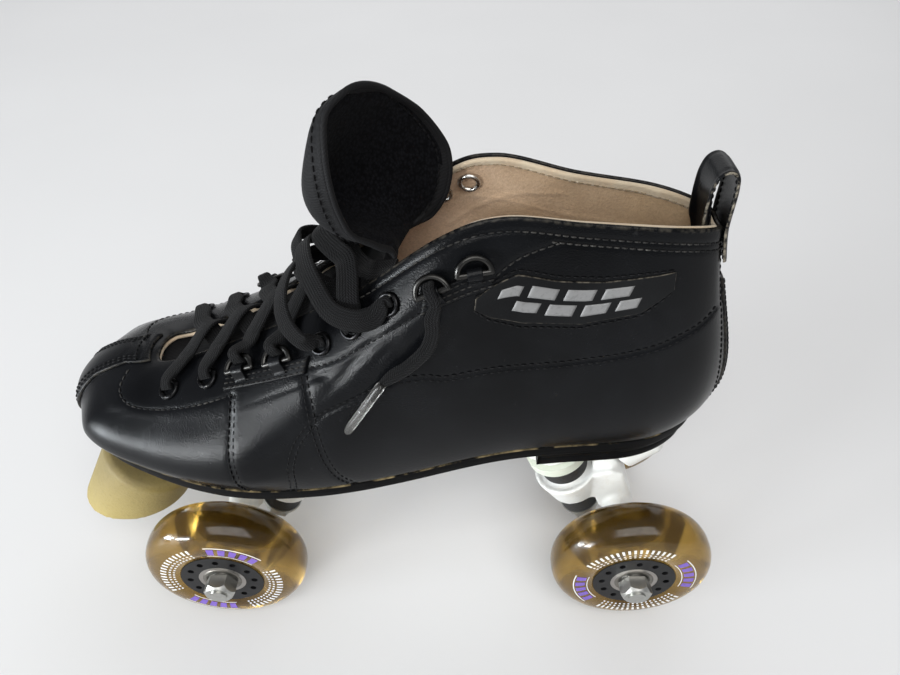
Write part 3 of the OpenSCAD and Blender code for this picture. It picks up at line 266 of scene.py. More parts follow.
def at_lengths(points, lengths):
    """Points of a polyline at the lengths that a function picks from its whole length."""
    points = np.asarray(points, float)
    run = run_along(points)
    return np.stack([np.interp(lengths(run[-1]), run, points[:, k]) for k in range(points.shape[1])], 1)


def even(points, gap):
    """A polyline through the given points with stations about gap apart."""
    return at_lengths(points, lambda total: np.linspace(0, total, max(2, int(round(total / gap)) + 1)))


# Meshes

def grid_faces(m, n, wrap_m=False, wrap_n=False, start=0):
    i = np.arange(m if wrap_m else m - 1)
    j = np.arange(n if wrap_n else n - 1)
    a, b = np.meshgrid(i, j, indexing="ij")
    a2 = (a + 1) % m
    b2 = (b + 1) % n
    quads = np.stack([a * n + b, a2 * n + b, a2 * n + b2, a * n + b2], -1)
    return quads.reshape(-1, 4) + start


def closed_faces(m, n):
    """Faces round m rings of n points, with both ends closed."""
    faces = grid_faces(m, n, wrap_n=True).tolist()
    return faces + [list(range(n))[::-1], [(m - 1) * n + k for k in range(n)]]


def rim_edges(m, n):
    """Pairs of point numbers round the edge of a grid."""
    rim = [(i, 0) for i in range(m)] + [(m - 1, j) for j in range(1, n)]
    rim += [(i, n - 1) for i in range(m - 2, -1, -1)] + [(0, j) for j in range(n - 2, 0, -1)]
    loop = [i * n + j for i, j in rim]
    return zip(loop, loop[1:] + loop[:1])


def make(name, verts, faces, look, body="boot", uv=None, marks=None, split=None):
    """A smooth mesh piece that rides on a body; uv and the named marks hold values for each point."""
    mesh = bpy.data.meshes.new(name)
    mesh.from_pydata(row(verts).tolist(), [], [list(map(int, f)) for f in faces])
    mesh.polygons.foreach_set("use_smooth", [True] * len(mesh.polygons))
    looks = look if isinstance(look, (list, tuple)) else [look]
    for each in looks:
        mesh.materials.append(each)
    if split is not None:
        mesh.polygons.foreach_set("material_index", np.asarray(split, int))
    if uv is not None:
        layer = mesh.uv_layers.new(name="UVMap")
        corners = np.zeros(len(mesh.loops), int)
        mesh.loops.foreach_get("vertex_index", corners)
        layer.data.foreach_set("uv", np.asarray(uv, float)[corners].ravel())
    for key, values in (marks or {}).items():
        attribute = mesh.attributes.new(key, "FLOAT", "POINT")
        attribute.data.foreach_set("value", np.asarray(values, float).ravel())
    mesh.update()
    thing = bpy.data.objects.new(name, mesh)
    bpy.context.scene.collection.objects.link(thing)
    if body:
        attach(thing, body)
    return thing


def joined(parts):
    """Several (points, faces) as one."""
    verts = []
    faces = []
    start = 0
    for v, f in parts:
        v = np.asarray(v, float).reshape(-1, 3)
        verts.append(v)
        faces.extend([[int(k) + start for k in face] for face in f])
        start += len(v)
    return np.vstack(verts), faces


def band_mesh(points, ups, widths, thick, rings, bulge=0.35):
    """A flat strap through stations: points, faces and a length and breadth for each point."""
    points = np.asarray(points, float)
    last = len(points) - 1
    t = np.linspace(0, last, rings + 1)
    p = spline(points, t)
    way = unit(spline(points, np.minimum(t + 0.05, last)) - spline(points, np.maximum(t - 0.05, 0)))
    across = unit(np.cross(way, spline(ups, t)))
    up = np.cross(across, way)
    half = spline(np.asarray(widths, float)[:, None], t) / 2
    sides = 20
    # A flat oval with full edges
    a = -2 * np.pi * (np.arange(sides) + 0.5) / sides
    wide = half * power(np.cos(a), bulge)
    high = thick / 2 * power(np.sin(a), 0.8)
    verts = p[:, None] + across[:, None] * wide[..., None] + up[:, None] * high[:, None]
    uv = np.stack([np.repeat(run_along(p)[:, None], sides, 1), wide], -1)
    faces = [face[::-1] for face in closed_faces(rings + 1, sides)]
    return verts.reshape(-1, 3), faces, uv.reshape(-1, 2), p


def tube_mesh(points, radius, sides=10):
    """A round tube along a polyline."""
    points = np.asarray(points, float)
    ahead = np.vstack([points[1:], 2 * points[-1] - points[-2]])
    behind = np.vstack([2 * points[0] - points[1], points[:-1]])
    way = unit(ahead - behind)
    across = unit(np.cross(way, TUBE_SIDE))
    up = np.cross(across, way)
    a = 2 * np.pi * np.arange(sides)[:, None] / sides
    radius = np.broadcast_to(radius, len(points))[:, None, None]
    verts = points[:, None] + radius * (across[:, None] * np.cos(a) + up[:, None] * np.sin(a))
    faces = grid_faces(len(points), sides, wrap_n=True).tolist()
    faces.append(list(range(sides)))
    faces.append([(len(points) - 1) * sides + k for k in reversed(range(sides))])
    return verts.reshape(-1, 3), faces


class Stitches:
    """Collects lines of thread and makes one piece of them."""

    def __init__(self):
        self.parts = []

    def line(self, points, normals, pitch=3.1, length=2.3, radius=0.34, lift=0.12):
        both = even(np.hstack([points, normals]), pitch)
        p = both[:, :3]
        n = unit(both[:, 3:])
        way = unit(np.gradient(p, axis=0))
        across = unit(np.cross(n, way))
        # One stitch: rings along its length that dip into the leather at both ends
        along = np.array([-0.5, -0.36, 0, 0.36, 0.5]) * length
        size = np.array([0.35, 0.85, 1, 0.85, 0.35]) * radius
        sink = np.array([-0.55, 0.1, 0.35, 0.1, -0.55]) * radius + lift
        sides = 6
        a = 2 * np.pi * np.arange(sides)[:, None] / sides
        centre = p[:, None] + way[:, None] * along[:, None] + n[:, None] * sink[:, None]
        around = across[:, None] * np.cos(a) + n[:, None] * np.sin(a)
        verts = centre[:, :, None] + around[:, None] * size[:, None, None]
        starts = np.arange(len(p)) * len(along) * sides
        faces = grid_faces(len(along), sides, wrap_n=True) + starts[:, None, None]
        self.parts.append((verts.reshape(-1, 3), faces.reshape(-1, 4).tolist()))

    def on_face(self, s, v, d, **sizes):
        """A line over places of the boot's face, d out of it."""
        self.line(skin(s, v, d), face_normal(s, v), **sizes)

    def on_wall(self, places, side, gaps=(0.0,), **sizes):
        """Lines along (rib, height) places on the sewn leather, each moved sideways by a gap."""
        sv = dense(places)
        s = side_s(sv[:, 0], side)
        v = sv[:, 1]
        n = face_normal(s, v)
        p = skin(s, v, wall_height(s, v))
        across = unit(np.cross(n, unit(np.gradient(p, axis=0))))
        for gap in gaps:
            self.line(p + across * gap, n, **sizes)

    def piece(self, name, look, body="boot"):
        verts, faces = joined(self.parts)
        return make(name, verts, faces, look, body)


# Materials

class Look:
    """A material of nodes. Numbers that are the same all over are set on the shader's own sockets."""

    def __init__(self, name, color, rough, sockets=None):
        self.material = bpy.data.materials.new(name)
        self.material.use_nodes = True
        self.nodes = self.material.node_tree.nodes
        self.links = self.material.node_tree.links
        self.shader = self.nodes["Principled BSDF"]
        self.shader.inputs["Base Color"].default_value = (*color, 1)
        self.shader.inputs["Roughness"].default_value = rough
        for socket, value in (sockets or {}).items():
            self.shader.inputs[socket].default_value = value
        coords = self.nodes.new("ShaderNodeTexCoord")
        self.spot = coords.outputs["Object"]
        self.uv = coords.outputs["UV"]

    def wire(self, value, socket):
        if hasattr(value, "links"):
            self.links.new(value, socket)
        else:
            socket.default_value = value

    def node(self, kind, inputs, out=0, **settings):
        """A new node with its settings and inputs; the result is the output that is asked for."""
        node = self.nodes.new("ShaderNode" + kind)
        for key, value in settings.items():
            setattr(node, key, value)
        for key, value in inputs.items():
            self.wire(value, node.inputs[key])
        return node.outputs[out]

    def placed(self, stretch):
        if stretch is None:
            return self.spot
        return self.node("Mapping", {"Scale": stretch, "Vector": self.spot}, "Vector")

    def noise(self, scale, detail=3.0, rough=0.55, stretch=None):
        inputs = {"Scale": scale, "Detail": detail, "Roughness": rough, "Vector": self.placed(stretch)}
        return self.node("TexNoise", inputs, "Fac")

    def cells(self, scale, stretch=None):
        return self.node("TexVoronoi", {"Scale": scale, "Vector": self.placed(stretch)}, "Distance")

    def math(self, kind, a, b=0.0):
        return self.node("Math", {0: a, 1: b}, operation=kind)

    def times(self, a, b):
        return self.math("MULTIPLY", a, b)

    def plus(self, a, b, share):
        """One value and a share of another."""
        return self.math("ADD", a, self.times(b, share))

    def waves(self, value, length):
        return self.math("SINE", self.times(value, 2 * math.pi / length))

    def axis(self, source, k):
        return self.node("SeparateXYZ", {0: source}, k)

    def level(self, value, low, high, to_low=0.0, to_high=1.0):
        inputs = {"Value": value, "From Min": low, "From Max": high, "To Min": to_low, "To Max": to_high}
        return self.node("MapRange", inputs, "Result")

    def mix(self, share, a, b):
        a, b = (c if hasattr(c, "links") else (*c, 1) for c in (a, b))
        return self.node("Mix", {"Factor": share, 6: a, 7: b}, 2, data_type="RGBA")

    def stain(self, color, over, value, low, high, share=1.0):
        """A colour that gives way to another where a value rises from low to high."""
        return self.mix(self.level(value, low, high, 0, share), color, over)

    def mark(self, name):
        return self.node("Attribute", {}, "Fac", attribute_name=name)

    def bump(self, height, depth, strength=1.0, under=None):
        inputs = {"Strength": strength, "Distance": depth, "Height": height}
        if under is not None:
            inputs["Normal"] = under
        return self.node("Bump", inputs, "Normal")

    def done(self, color=None, rough=None, normal=None):
        for socket, value in (("Base Color", color), ("Roughness", rough), ("Normal", normal)):
            if value is not None:
                self.links.new(value, self.shader.inputs[socket])
        return self.material


def leather(name, dark=(0.002, 0.0022, 0.0027), light=(0.005, 0.0054, 0.0064), rough=(0.2, 0.27)):
    """Black coated leather: fine cells, soft creases, dust and a worn bloom where the piece is marked."""
    look = Look(name, dark, 0.38, {"Specular IOR Level": 0.13})
    tone = look.noise(28, 4)
    dust = look.noise(240, 5, 0.7)
    specks = look.level(dust, 0.66, 0.78)
    color = look.stain(dark, light, tone, 0.35, 0.7)
    color = look.mix(look.times(specks, 0.18), color, (0.06, 0.06, 0.062))
    worn = look.times(look.mark("wear"), look.level(look.noise(420, 4), 0.4, 0.62))
    color = look.mix(worn, color, (0.26, 0.23, 0.18))
    grain = look.cells(1700)
    fine = look.noise(2300, 2)
    folds = look.noise(60, 3, 0.5)
    normal = look.bump(folds, 0.0012, 0.03)
    normal = look.bump(grain, 0.00016, 0.3, normal)
    normal = look.bump(fine, 0.0001, 0.25, normal)
    gloss = look.level(look.noise(46, 4), 0.3, 0.7, *rough)
    return look.done(color, gloss, normal)


def suede_lining():
    """Tan lining with blotches, grime and a pale rubbed rim."""
    look = Look("tan_suede", (0.42, 0.25, 0.13), 0.85, {"Sheen Weight": 0.25, "Sheen Roughness": 0.5})
    blotch = look.noise(34, 5, 0.6)
    stain = look.noise(16, 3)
    nap = look.noise(900, 4, 0.7)
    color = look.stain((0.64, 0.43, 0.27), (0.82, 0.61, 0.44), blotch, 0.3, 0.7)
    yellow = look.level(look.axis(look.spot, 0), row((0, 0, 0))[0], row((-85, 0, 0))[0], 0, 0.6)
    color = look.mix(yellow, color, (0.52, 0.37, 0.18))
    color = look.stain(color, (0.32, 0.21, 0.11), stain, 0.54, 0.72, 0.5)
    color = look.stain(color, (0.26, 0.15, 0.085), nap, 0.35, 0.72, 0.42)
    pale = look.times(look.mark("wear"), look.level(look.noise(120, 4), 0.25, 0.6, 0.45, 1))
    color = look.mix(pale, color, (0.6, 0.5, 0.36))
    normal = look.bump(nap, 0.0006, 0.8)
    normal = look.bump(blotch, 0.0015, 0.25, normal)
    return look.done(color, None, normal)


def sole_edge():
    look = Look("sole_edge_black", (0.004, 0.004, 0.0043), 0.5, {"Specular IOR Level": 0.06})
    run = look.noise(260, 4, 0.6, stretch=(0.15, 0.15, 1.4))
    scuff = look.noise(70, 5, 0.65)
    color = look.stain((0.0025, 0.0025, 0.0027), (0.009, 0.0085, 0.0078), scuff, 0.5, 0.75, 0.6)
    worn = look.times(look.mark("wear"), look.level(look.noise(150, 4), 0.46, 0.68))
    color = look.mix(worn, color, (0.27, 0.21, 0.11))
    normal = look.bump(run, 0.0005, 0.5)
    return look.done(color, look.level(scuff, 0.3, 0.7, 0.38, 0.62), normal)


def woven_lace():
    """Flat braid: slanting yarns that meet along the middle."""
    feel = {"Sheen Weight": 0.03, "Sheen Roughness": 0.4, "Specular IOR Level": 0.15}
    look = Look("black_braid", (0.006, 0.006, 0.0066), 0.8, feel)
    along = look.axis(look.uv, 0)
    across = look.axis(look.uv, 1)
    ribs = look.waves(look.plus(along, look.math("ABSOLUTE", across), 0.9), 0.95)
    rows = look.waves(across, 1.05)
    height = look.plus(look.times(ribs, 0.6), rows, 0.5)
    fuzz = look.noise(1500, 4, 0.7)
    # Painted shade: the braid is darker in the hollows between its raised yarns
    shade = look.level(height, -0.9, 1.0)
    color = look.mix(shade, (0.0015, 0.0015, 0.0017), (0.006, 0.006, 0.0066))
    color = look.stain(color, (0.02, 0.02, 0.021), fuzz, 0.55, 0.8, 0.25)
    normal = look.bump(look.plus(height, fuzz, 0.8), 0.00022, 0.8)
    return look.done(color, None, normal)


def fleece():
    """Knitted pile of the tongue's inner face."""
    feel = {"Sheen Weight": 0.025, "Sheen Roughness": 0.5, "Specular IOR Level": 0.1}
    look = Look("black_fleece", (0.006, 0.006, 0.007), 0.95, feel)
    loops = look.cells(1000, stretch=(1, 1, 0.72))
    fuzz = look.noise(1700, 4, 0.75)
    color = look.stain((0.0064, 0.0066, 0.0082), (0.0012, 0.0012, 0.0017), loops, 0.1, 0.7)
    color = look.stain(color, (0.022, 0.022, 0.026), fuzz, 0.55, 0.85, 0.3)
    normal = look.bump(loops, 0.0003, 0.5)
    normal = look.bump(fuzz, 0.0003, 0.4, normal)
    return look.done(color, None, normal)


def tongue_twill():
    """Thin black cloth of the tongue's front and binding, with slanting ribs."""
    feel = {"Sheen Weight": 0.03, "Sheen Roughness": 0.4, "Specular IOR Level": 0.2}
    look = Look("black_twill", (0.006, 0.006, 0.0065), 0.75, feel)
    up = look.axis(look.spot, 2)
    over = look.math("ADD", look.axis(look.spot, 0), look.axis(look.spot, 1))
    ribs = look.waves(look.plus(up, over, 0.6), 0.0011)
    fuzz = look.noise(1200, 4, 0.7)
    color = look.stain((0.0042, 0.0042, 0.0048), (0.0066, 0.0066, 0.0074), ribs, -1, 1)
    color = look.stain(color, (0.02, 0.02, 0.021), fuzz, 0.58, 0.8, 0.3)
    return look.done(color, None, look.bump(look.plus(ribs, fuzz, 1.2), 0.00012, 0.25))


def thread(name, dark, light):
    """Sewing thread: a twist, and dust in places."""
    look = Look(name, dark, 0.7, {"Specular IOR Level": 0.15})
    twist = look.noise(1900, 3)
    dust = look.noise(75, 4, 0.6)
    share = look.times(look.level(twist, 0.3, 0.7), look.level(dust, 0.4, 0.62))
    return look.done(look.mix(share, dark, light), None, look.bump(twist, 0.0001, 0.5))


def metal(name, color, rough, spots=(0.2, 0.2, 0.2), grime_and_shade=0.35):
    """Plated steel with uneven gloss, hairline scratches and dull spots."""
    look = Look(name, color, rough, {"Metallic": 1.0})
    cloud = look.noise(160, 5, 0.65)
    hair = look.noise(900, 3, 0.6, stretch=(0.08, 1, 1))
    tint = look.stain(color, spots, cloud, 0.48, 0.74, grime_and_shade)
    gloss = look.level(look.plus(cloud, hair, 0.4), 0.4, 1.0, rough * 0.7, rough * 1.6)
    return look.done(tint, gloss, look.bump(hair, 0.00006, 0.35))


def white_paint():
    look = Look("white_paint", (0.82, 0.83, 0.81), 0.36, {"Specular IOR Level": 0.5})
    orange_peel = look.noise(420, 2)
    dirt = look.noise(70, 6, 0.7)
    chips = look.noise(210, 5, 0.62)
    color = look.stain((0.8, 0.81, 0.79), (0.5, 0.45, 0.36), dirt, 0.5, 0.78, 0.55)
    color = look.stain(color, (0.27, 0.25, 0.22), chips, 0.7, 0.735)
    normal = look.bump(orange_peel, 0.00025, 0.25)
    return look.done(color, look.level(dirt, 0.35, 0.7, 0.3, 0.5), normal)


def rubber(name, dark, light, rough=0.62, grime_and_shade=None):
    """Moulded rubber; an optional pair of heights gives the band over which a brown painted shade darkens it
    towards the top.
    """
    look = Look(name, dark, rough, {"Specular IOR Level": 0.35})
    cloud = look.noise(55, 5, 0.6)
    pits = look.noise(700, 4, 0.65)
    color = look.stain(dark, light, cloud, 0.3, 0.72)
    color = look.stain(color, tuple(0.55 * c for c in dark), pits, 0.54, 0.78, 0.6)
    if grime_and_shade is not None:
        # Painted shade: a brown darkening that grows towards the piece's top, where the boot above shades it
        painted_shade = look.level(look.axis(look.spot, 2), *grime_and_shade)
        painted_shade = look.times(painted_shade, look.level(cloud, 0.25, 0.6, 0.45, 0.85))
        color = look.mix(painted_shade, color, (0.13, 0.1, 0.045))
    normal = look.bump(pits, 0.0004, 0.7)
    return look.done(color, look.level(cloud, 0.3, 0.7, rough - 0.1, rough + 0.12), normal)


def urethane():
    """Smoky amber wheel rubber that lets light through."""
    look = Look("amber_urethane", (0.5, 0.28, 0.06), 0.12, {"Transmission Weight": 0.93, "IOR": 1.42})
    cloud = look.noise(40, 4)
    scuff = look.noise(240, 5, 0.7, stretch=(1, 0.3, 1))
    color = look.stain((0.36, 0.21, 0.035), (0.46, 0.29, 0.065), cloud, 0.3, 0.7)
    color = look.stain(color, (0.2, 0.16, 0.11), scuff, 0.62, 0.82, 0.25)
    rough = look.level(scuff, 0.35, 0.75, 0.08, 0.26)
    return look.done(color, rough, look.bump(scuff, 0.00012, 0.2))


def eyelet_metal():
    """Black enamel on the outer eyelets; the two grommets behind them are bare."""
    look = Look("eyelet_enamel", (0.02, 0.02, 0.021), 0.3, {"Metallic": 1.0})
    split = (face_point(*EYELETS[-1])[0] + face_point(*GROMMET)[0]) / 2
    back = look.level(look.axis(look.spot, 0), *(row((split + k, 0, 0))[0] for k in (1, -1)))
    chips = look.noise(700, 4, 0.6)
    black = look.stain((0.02, 0.02, 0.021), (0.22, 0.21, 0.19), chips, 0.6, 0.7, 0.6)
    return look.done(look.mix(back, black, (0.6, 0.59, 0.56)), look.level(chips, 0.3, 0.7, 0.2, 0.42))


def plastic(name, color, rough, lighter):
    look = Look(name, color, rough, {"Specular IOR Level": 0.25})
    cloud = look.noise(120, 4)
    pits = look.noise(1300, 3)
    tint = look.stain(color, lighter, cloud, 0.35, 0.75)
    gloss = look.level(cloud, 0.3, 0.7, rough - 0.08, rough + 0.1)
    return look.done(tint, gloss, look.bump(pits, 0.0001, 0.3))


def ink(name, color):
    """Printed ink that is rubbed thin here and there."""
    look = Look(name, color, 0.45)
    rub = look.noise(520, 5, 0.7)
    faded = tuple(0.62 * c for c in color)
    tint = look.stain(color, faded, rub, 0.52, 0.74)
    return look.done(tint, None, look.bump(rub, 0.00008, 0.4))


LEATHER = leather("black_leather_grain")
STRIP_LEATHER = leather("black_strip_leather", rough=(0.24, 0.36))
PANEL = leather("side_panel_black", (0.004, 0.0042, 0.0047), (0.009, 0.0094, 0.01), (0.42, 0.56))
SUEDE = suede_lining()
SOLE = sole_edge()
BRAID = woven_lace()
FLEECE = fleece()
TWILL = tongue_twill()
THREAD = thread("black_thread", (0.003, 0.003, 0.0033), (0.012, 0.012, 0.013))
TAN_THREAD = thread("tan_thread", (0.2, 0.15, 0.09), (0.42, 0.35, 0.24))
DUSTY_THREAD = thread("dusty_thread", (0.008, 0.008, 0.0085), (0.09, 0.086, 0.078))
DARK_STEEL = metal("gunmetal", (0.05, 0.049, 0.047), 0.26, (0.015, 0.014, 0.013), 0.6)
EYELET_METAL = eyelet_metal()
ZINC = metal("zinc_plate", (0.44, 0.44, 0.42), 0.33, (0.22, 0.2, 0.17))
STEEL = metal("ground_steel", (0.36, 0.34, 0.32), 0.3, (0.2, 0.18, 0.16))
SHIELD_STEEL = metal("shield_steel", (0.2, 0.19, 0.17), 0.34, (0.08, 0.07, 0.06), 0.5)
PAINT = white_paint()
BLACK_RUBBER = rubber("black_rubber", (0.016, 0.016, 0.017), (0.034, 0.033, 0.032))
# The two heights give the cream toe stop its brown painted shade towards the top, under the boot
CREAM_RUBBER = rubber("cream_rubber", (0.31, 0.24, 0.075), (0.41, 0.325, 0.12), 0.6, (0.034, 0.078))
URETHANE = urethane()
HUB_PLASTIC = plastic("hub_black", (0.004, 0.004, 0.0046), 0.45, (0.012, 0.012, 0.013))
CUP_PLASTIC = plastic("pale_cup", (0.58, 0.62, 0.52), 0.42, (0.68, 0.71, 0.62))
BLACK_PLASTIC = plastic("black_cup", (0.02, 0.02, 0.021), 0.45, (0.04, 0.04, 0.042))
WHITE_INK = ink("white_ink", (0.72, 0.72, 0.7))
PURPLE_INK = ink("purple_ink", (0.16, 0.09, 0.42))
SILVER_FOIL = ink("silver_foil", (0.2, 0.2, 0.2))


# Camera at the photograph's viewing angle, for a picture of 900 by 675

FOCAL_PX = 676.34
FRAME_W = 900
CAMERA_AT = (-11.77, 211.78, 339.71)
YAW = math.radians(0.3643)
PITCH = math.radians(42.56)
ROLL = math.radians(-0.1533)


def add_camera():
    data = bpy.data.cameras.new("camera")
    data.sensor_width = 36
    data.lens = FOCAL_PX / FRAME_W * data.sensor_width
    data.clip_start = 0.01
    camera = bpy.data.objects.new("camera", data)
    ahead = Vector((math.sin(YAW), -math.cos(YAW), 0))
    right = Vector((-math.cos(YAW), -math.sin(YAW), 0))
    up = Vector((0, 0, 1))
    down_ahead = math.cos(PITCH) * ahead - math.sin(PITCH) * up
    tilted_up = math.sin(PITCH) * ahead + math.cos(PITCH) * up
    x = math.cos(ROLL) * right + math.sin(ROLL) * tilted_up
    y = -math.sin(ROLL) * right + math.cos(ROLL) * tilted_up
    turn = Matrix((x, y, -down_ahead)).transposed().to_4x4()
    camera.matrix_world = Matrix.Translation(Vector(row(CAMERA_AT))) @ turn
    bpy.context.scene.collection.objects.link(camera)
    bpy.context.scene.camera = camera


def add_light(name, place, aim, size, power, color):
    data = bpy.data.lights.new(name, "AREA")
    data.shape = "RECTANGLE"
    data.size = size[0]
    data.size_y = size[1]
    data.energy = power
    data.color = color
    lamp = bpy.data.objects.new(name, data)
    lamp.location = place
    lamp.rotation_euler = (Vector(aim) - Vector(place)).to_track_quat("-Z", "Y").to_euler()
    lamp.visible_camera = False
    bpy.context.scene.collection.objects.link(lamp)


# Lamps: name, place and aim in the frame's metres, size, power and colour
LAMPS = [
    ("window", (1.4, 0.58, 0.24), (0.1, 0.03, 0.13), (0.5, 0.2), 16, (0.9, 0.96, 1.0)),
    ("far_window", (1.08, 1.08, 0.26), (0.0, 0.02, 0.15), (0.4, 0.2), 15, (0.95, 0.98, 1.0)),
    ("back_wall", (0.0, -1.3, 0.85), (0.0, 0, 0.1), (2.4, 1.0), 9, (1.0, 1.0, 1.0)),
    ("ceiling", (-0.25, 1.35, 1.9), (0, 0, 0.1), (2.2, 1.6), 40, (1.0, 0.99, 0.97)),
]
FLOOR_HALF = 3000.0
SKY_COLOR = (0.93, 0.95, 1.0, 1)
SKY_STRENGTH = 0.3


def add_stage():
    """A pale floor, a pale sky and soft studio light."""
    corners = np.array([[-1, -1, 0], [1, -1, 0], [1, 1, 0], [-1, 1, 0]]) * FLOOR_HALF + [MID_X, 0, 0]
    look = Look("pale_floor", (0.75, 0.75, 0.75), 0.5, {"Specular IOR Level": 0.2})
    cloud = look.noise(2.2, 3)
    tint = look.stain((0.74, 0.74, 0.74), (0.77, 0.77, 0.77), cloud, 0.3, 0.7)
    floor = make("floor", corners, [[0, 1, 2, 3]], look.done(tint), None)
    world = bpy.data.worlds.new("studio")
    bpy.context.scene.world = world
    world.use_nodes = True
    sky = world.node_tree.nodes["Background"]
    sky.inputs["Color"].default_value = SKY_COLOR
    sky.inputs["Strength"].default_value = SKY_STRENGTH
    for lamp in LAMPS:
        add_light(*lamp)
    bpy.context.scene.view_settings.view_transform = "Standard"


add_camera()
add_stage()


# The upper: one skin with sewn panels, grooves under the stitch lines and a rolled top edge

# Sewn lines on the outer side as (rib, height); the inner side has the same
FRONT_SEAM = [(7.07, 0.66), (7.0, 0.5), (6.92, 0.3), (6.83, 0.13), (6.77, 0.012)]
MIDDLE_SEAM = [(6.38, 0.7), (6.17, 0.48), (5.95, 0.29), (5.72, 0.12), (5.52, 0.012)]
SHANK_SEAM = [(5.3, 0.52), (5.7, 0.5), (6.05, 0.47), (6.24, 0.38), (6.28, 0.24), (6.24, 0.1), (6.25, 0.012)]
LONG_SEAM = [
    (5.3, 0.52), (4.9, 0.5), (4.5, 0.475), (3.6, 0.49), (2.8, 0.525), (2.2, 0.57), (1.6, 0.63), (0.95, 0.7),
]
QUARTER_SEAM = [(6.3, 0.705), (6.1, 0.7), (5.6, 0.72), (5.16, 0.735)]
TOE_SEAM = [(9.32, 0.8), (9.0, 0.7), (8.5, 0.63), (8.0, 0.62), (7.5, 0.635), (7.1, 0.665)]
COLLAR_SEAM = [
    (6.3, 0.95), (5.7, 0.95), (5.2, 0.95), (4.6, 0.952), (4, 0.955), (3, 0.955), (2, 0.955), (1, 0.953),
    (0.45, 0.95),
]
COLLAR_SEAM_LOW = [(3.4, 0.928), (3, 0.93), (2, 0.93), (1, 0.928), (0.45, 0.925)]
YOKE_SEAM = [(4.12, 0.79), (3.85, 0.85), (3.6, 0.89), (3.35, 0.925)]
HEEL_SEAM = [(0.62, 0.93), (0.6, 0.8), (0.62, 0.6), (0.64, 0.4), (0.62, 0.2), (0.6, 0.03)]
# Grooves under the sewn lines, with depth and width
GROOVES = [
    (FRONT_SEAM, 0.34, 1.5), (MIDDLE_SEAM, 0.36, 1.5), (SHANK_SEAM, 0.36, 1.4), (LONG_SEAM, 0.34, 1.3),
    (QUARTER_SEAM, 0.3, 1.0), (TOE_SEAM, 0.2, 0.9), (COLLAR_SEAM, 0.34, 0.9), (COLLAR_SEAM_LOW, 0.25, 0.8),
    (YOKE_SEAM, 0.3, 0.9), (HEEL_SEAM, 0.3, 1.0),
]
# Groups of soft creases: middle and reach in ribs and heights, count and depth
CREASES = [
    (7.1, 0.45, 0.9, 0.25, 7, 0.06), (5.3, 0.62, 0.7, 0.16, 8, 0.32), (5.9, 0.72, 0.6, 0.12, 6, 0.26),
    (2.6, 0.6, 1.0, 0.2, 5, 0.18), (8.4, 0.68, 0.7, 0.14, 5, 0.05),
]
DOUBLE_GAP = 1.15
# The forefoot's fullness, and the ribs and heights where it starts, rises over, ends and falls over
FOREFOOT_FULL = 2.6
FULL_RIBS = (6.0, 0.8, 8.95, 0.5)
FULL_HEIGHTS = (0.0, 0.2, 0.24, 0.32)
# How far the skin is drawn in at the sole, and up to about which height
FOOT_DRAWN = 0.5
FOOT_REACH = 0.012
VAMP_LAP = 0.26
VAMP_TOP = 0.705
COUNTER_LAP = 0.28
LAP_STEP = 0.55
# About how long one rib's step and the height of the whole wall and of its back part are
RIB_MM = 33.0
WALL_MM = 110.0
BACK_MM = 105.0
WALL_S = 720
WALL_V = 132


def dense(places, count=24):
    return spline(places, np.linspace(0, len(places) - 1, count * (len(places) - 1) + 1))


def distance_to(points, line):
    """Distance of each point to a dense line, taken as far away outside the line's own box."""
    reach = 5.0
    lo = line.min(0) - reach
    hi = line.max(0) + reach
    out = np.full(len(points), 99.0)
    near = np.nonzero(((points > lo) & (points < hi)).all(1))[0]
    for part in np.array_split(near, max(1, len(near) // 4000)):
        gaps = np.linalg.norm(points[part][:, None] - line[None], axis=2)
        out[part] = gaps.min(1)
    return out


def line_at(places, at, key):
    """The other coordinate of a sewn line where the one numbered key has the given values."""
    line = dense(places)
    order = np.argsort(line[:, key])
    return np.interp(at, line[order, key], line[order, 1 - key])


def lap(ahead, length, shift=0.5):
    """A step at a lapped edge, from how far a place lies behind it."""
    return smooth(ahead * length / LAP_STEP + shift)


def swell(x, start, rise, end, fall):
    """A step up from start on, and a step down again from end on."""
    return smooth((x - start) / rise) * (1 - smooth((x - end) / fall))


def wall_relief(s, v, points):
    """How far the leather stands out at each grid point: panels, grooves and soft creases."""
    out_s = np.where(s > LAST, RIBS - s, s)
    middle_s = line_at(MIDDLE_SEAM, v, 1)
    vamp = lap(line_at(FRONT_SEAM, v, 1) - out_s, RIB_MM) * lap(out_s - middle_s, RIB_MM)
    long_v = line_at(SHANK_SEAM[2::-1] + LONG_SEAM[1:], out_s, 0)
    relief = VAMP_LAP * vamp * lap(VAMP_TOP - v, WALL_MM, 0)
    relief += COUNTER_LAP * lap(long_v - v, BACK_MM) * lap(middle_s - out_s, RIB_MM)
    flat = points.reshape(-1, 3)
    for side in (1, -1):
        for places, depth, width in GROOVES:
            sv = dense(places)
            line = face_point(side_s(sv[:, 0], side), sv[:, 1])
            relief -= depth * bell(distance_to(flat, line).reshape(s.shape), width)
    # Soft creases across the flex of the forefoot and round the ankle
    rng = np.random.default_rng(7)
    for centre_s, centre_v, reach_s, reach_v, count, deep in CREASES:
        for _ in range(count):
            ds = (out_s - centre_s - rng.uniform(-1, 1) * reach_s) * RIB_MM
            dv = (v - centre_v - rng.uniform(-1, 1) * reach_v) * WALL_MM
            tilt = rng.uniform(0.5, 1.4) * rng.choice([-1, 1])
            across = ds * math.cos(tilt) + dv * math.sin(tilt)
            along = -ds * math.sin(tilt) + dv * math.cos(tilt)
            wide = rng.uniform(1.6, 3.2)
            depth = deep * rng.uniform(0.4, 1)
            relief -= depth * bell(across, wide) * bell(along, rng.uniform(7, 16))
    # The forefoot's wall is fullest low down
    relief += FOREFOOT_FULL * swell(out_s, *FULL_RIBS) * swell(v, *FULL_HEIGHTS)
    return relief - FOOT_DRAWN * bell(v, FOOT_REACH)


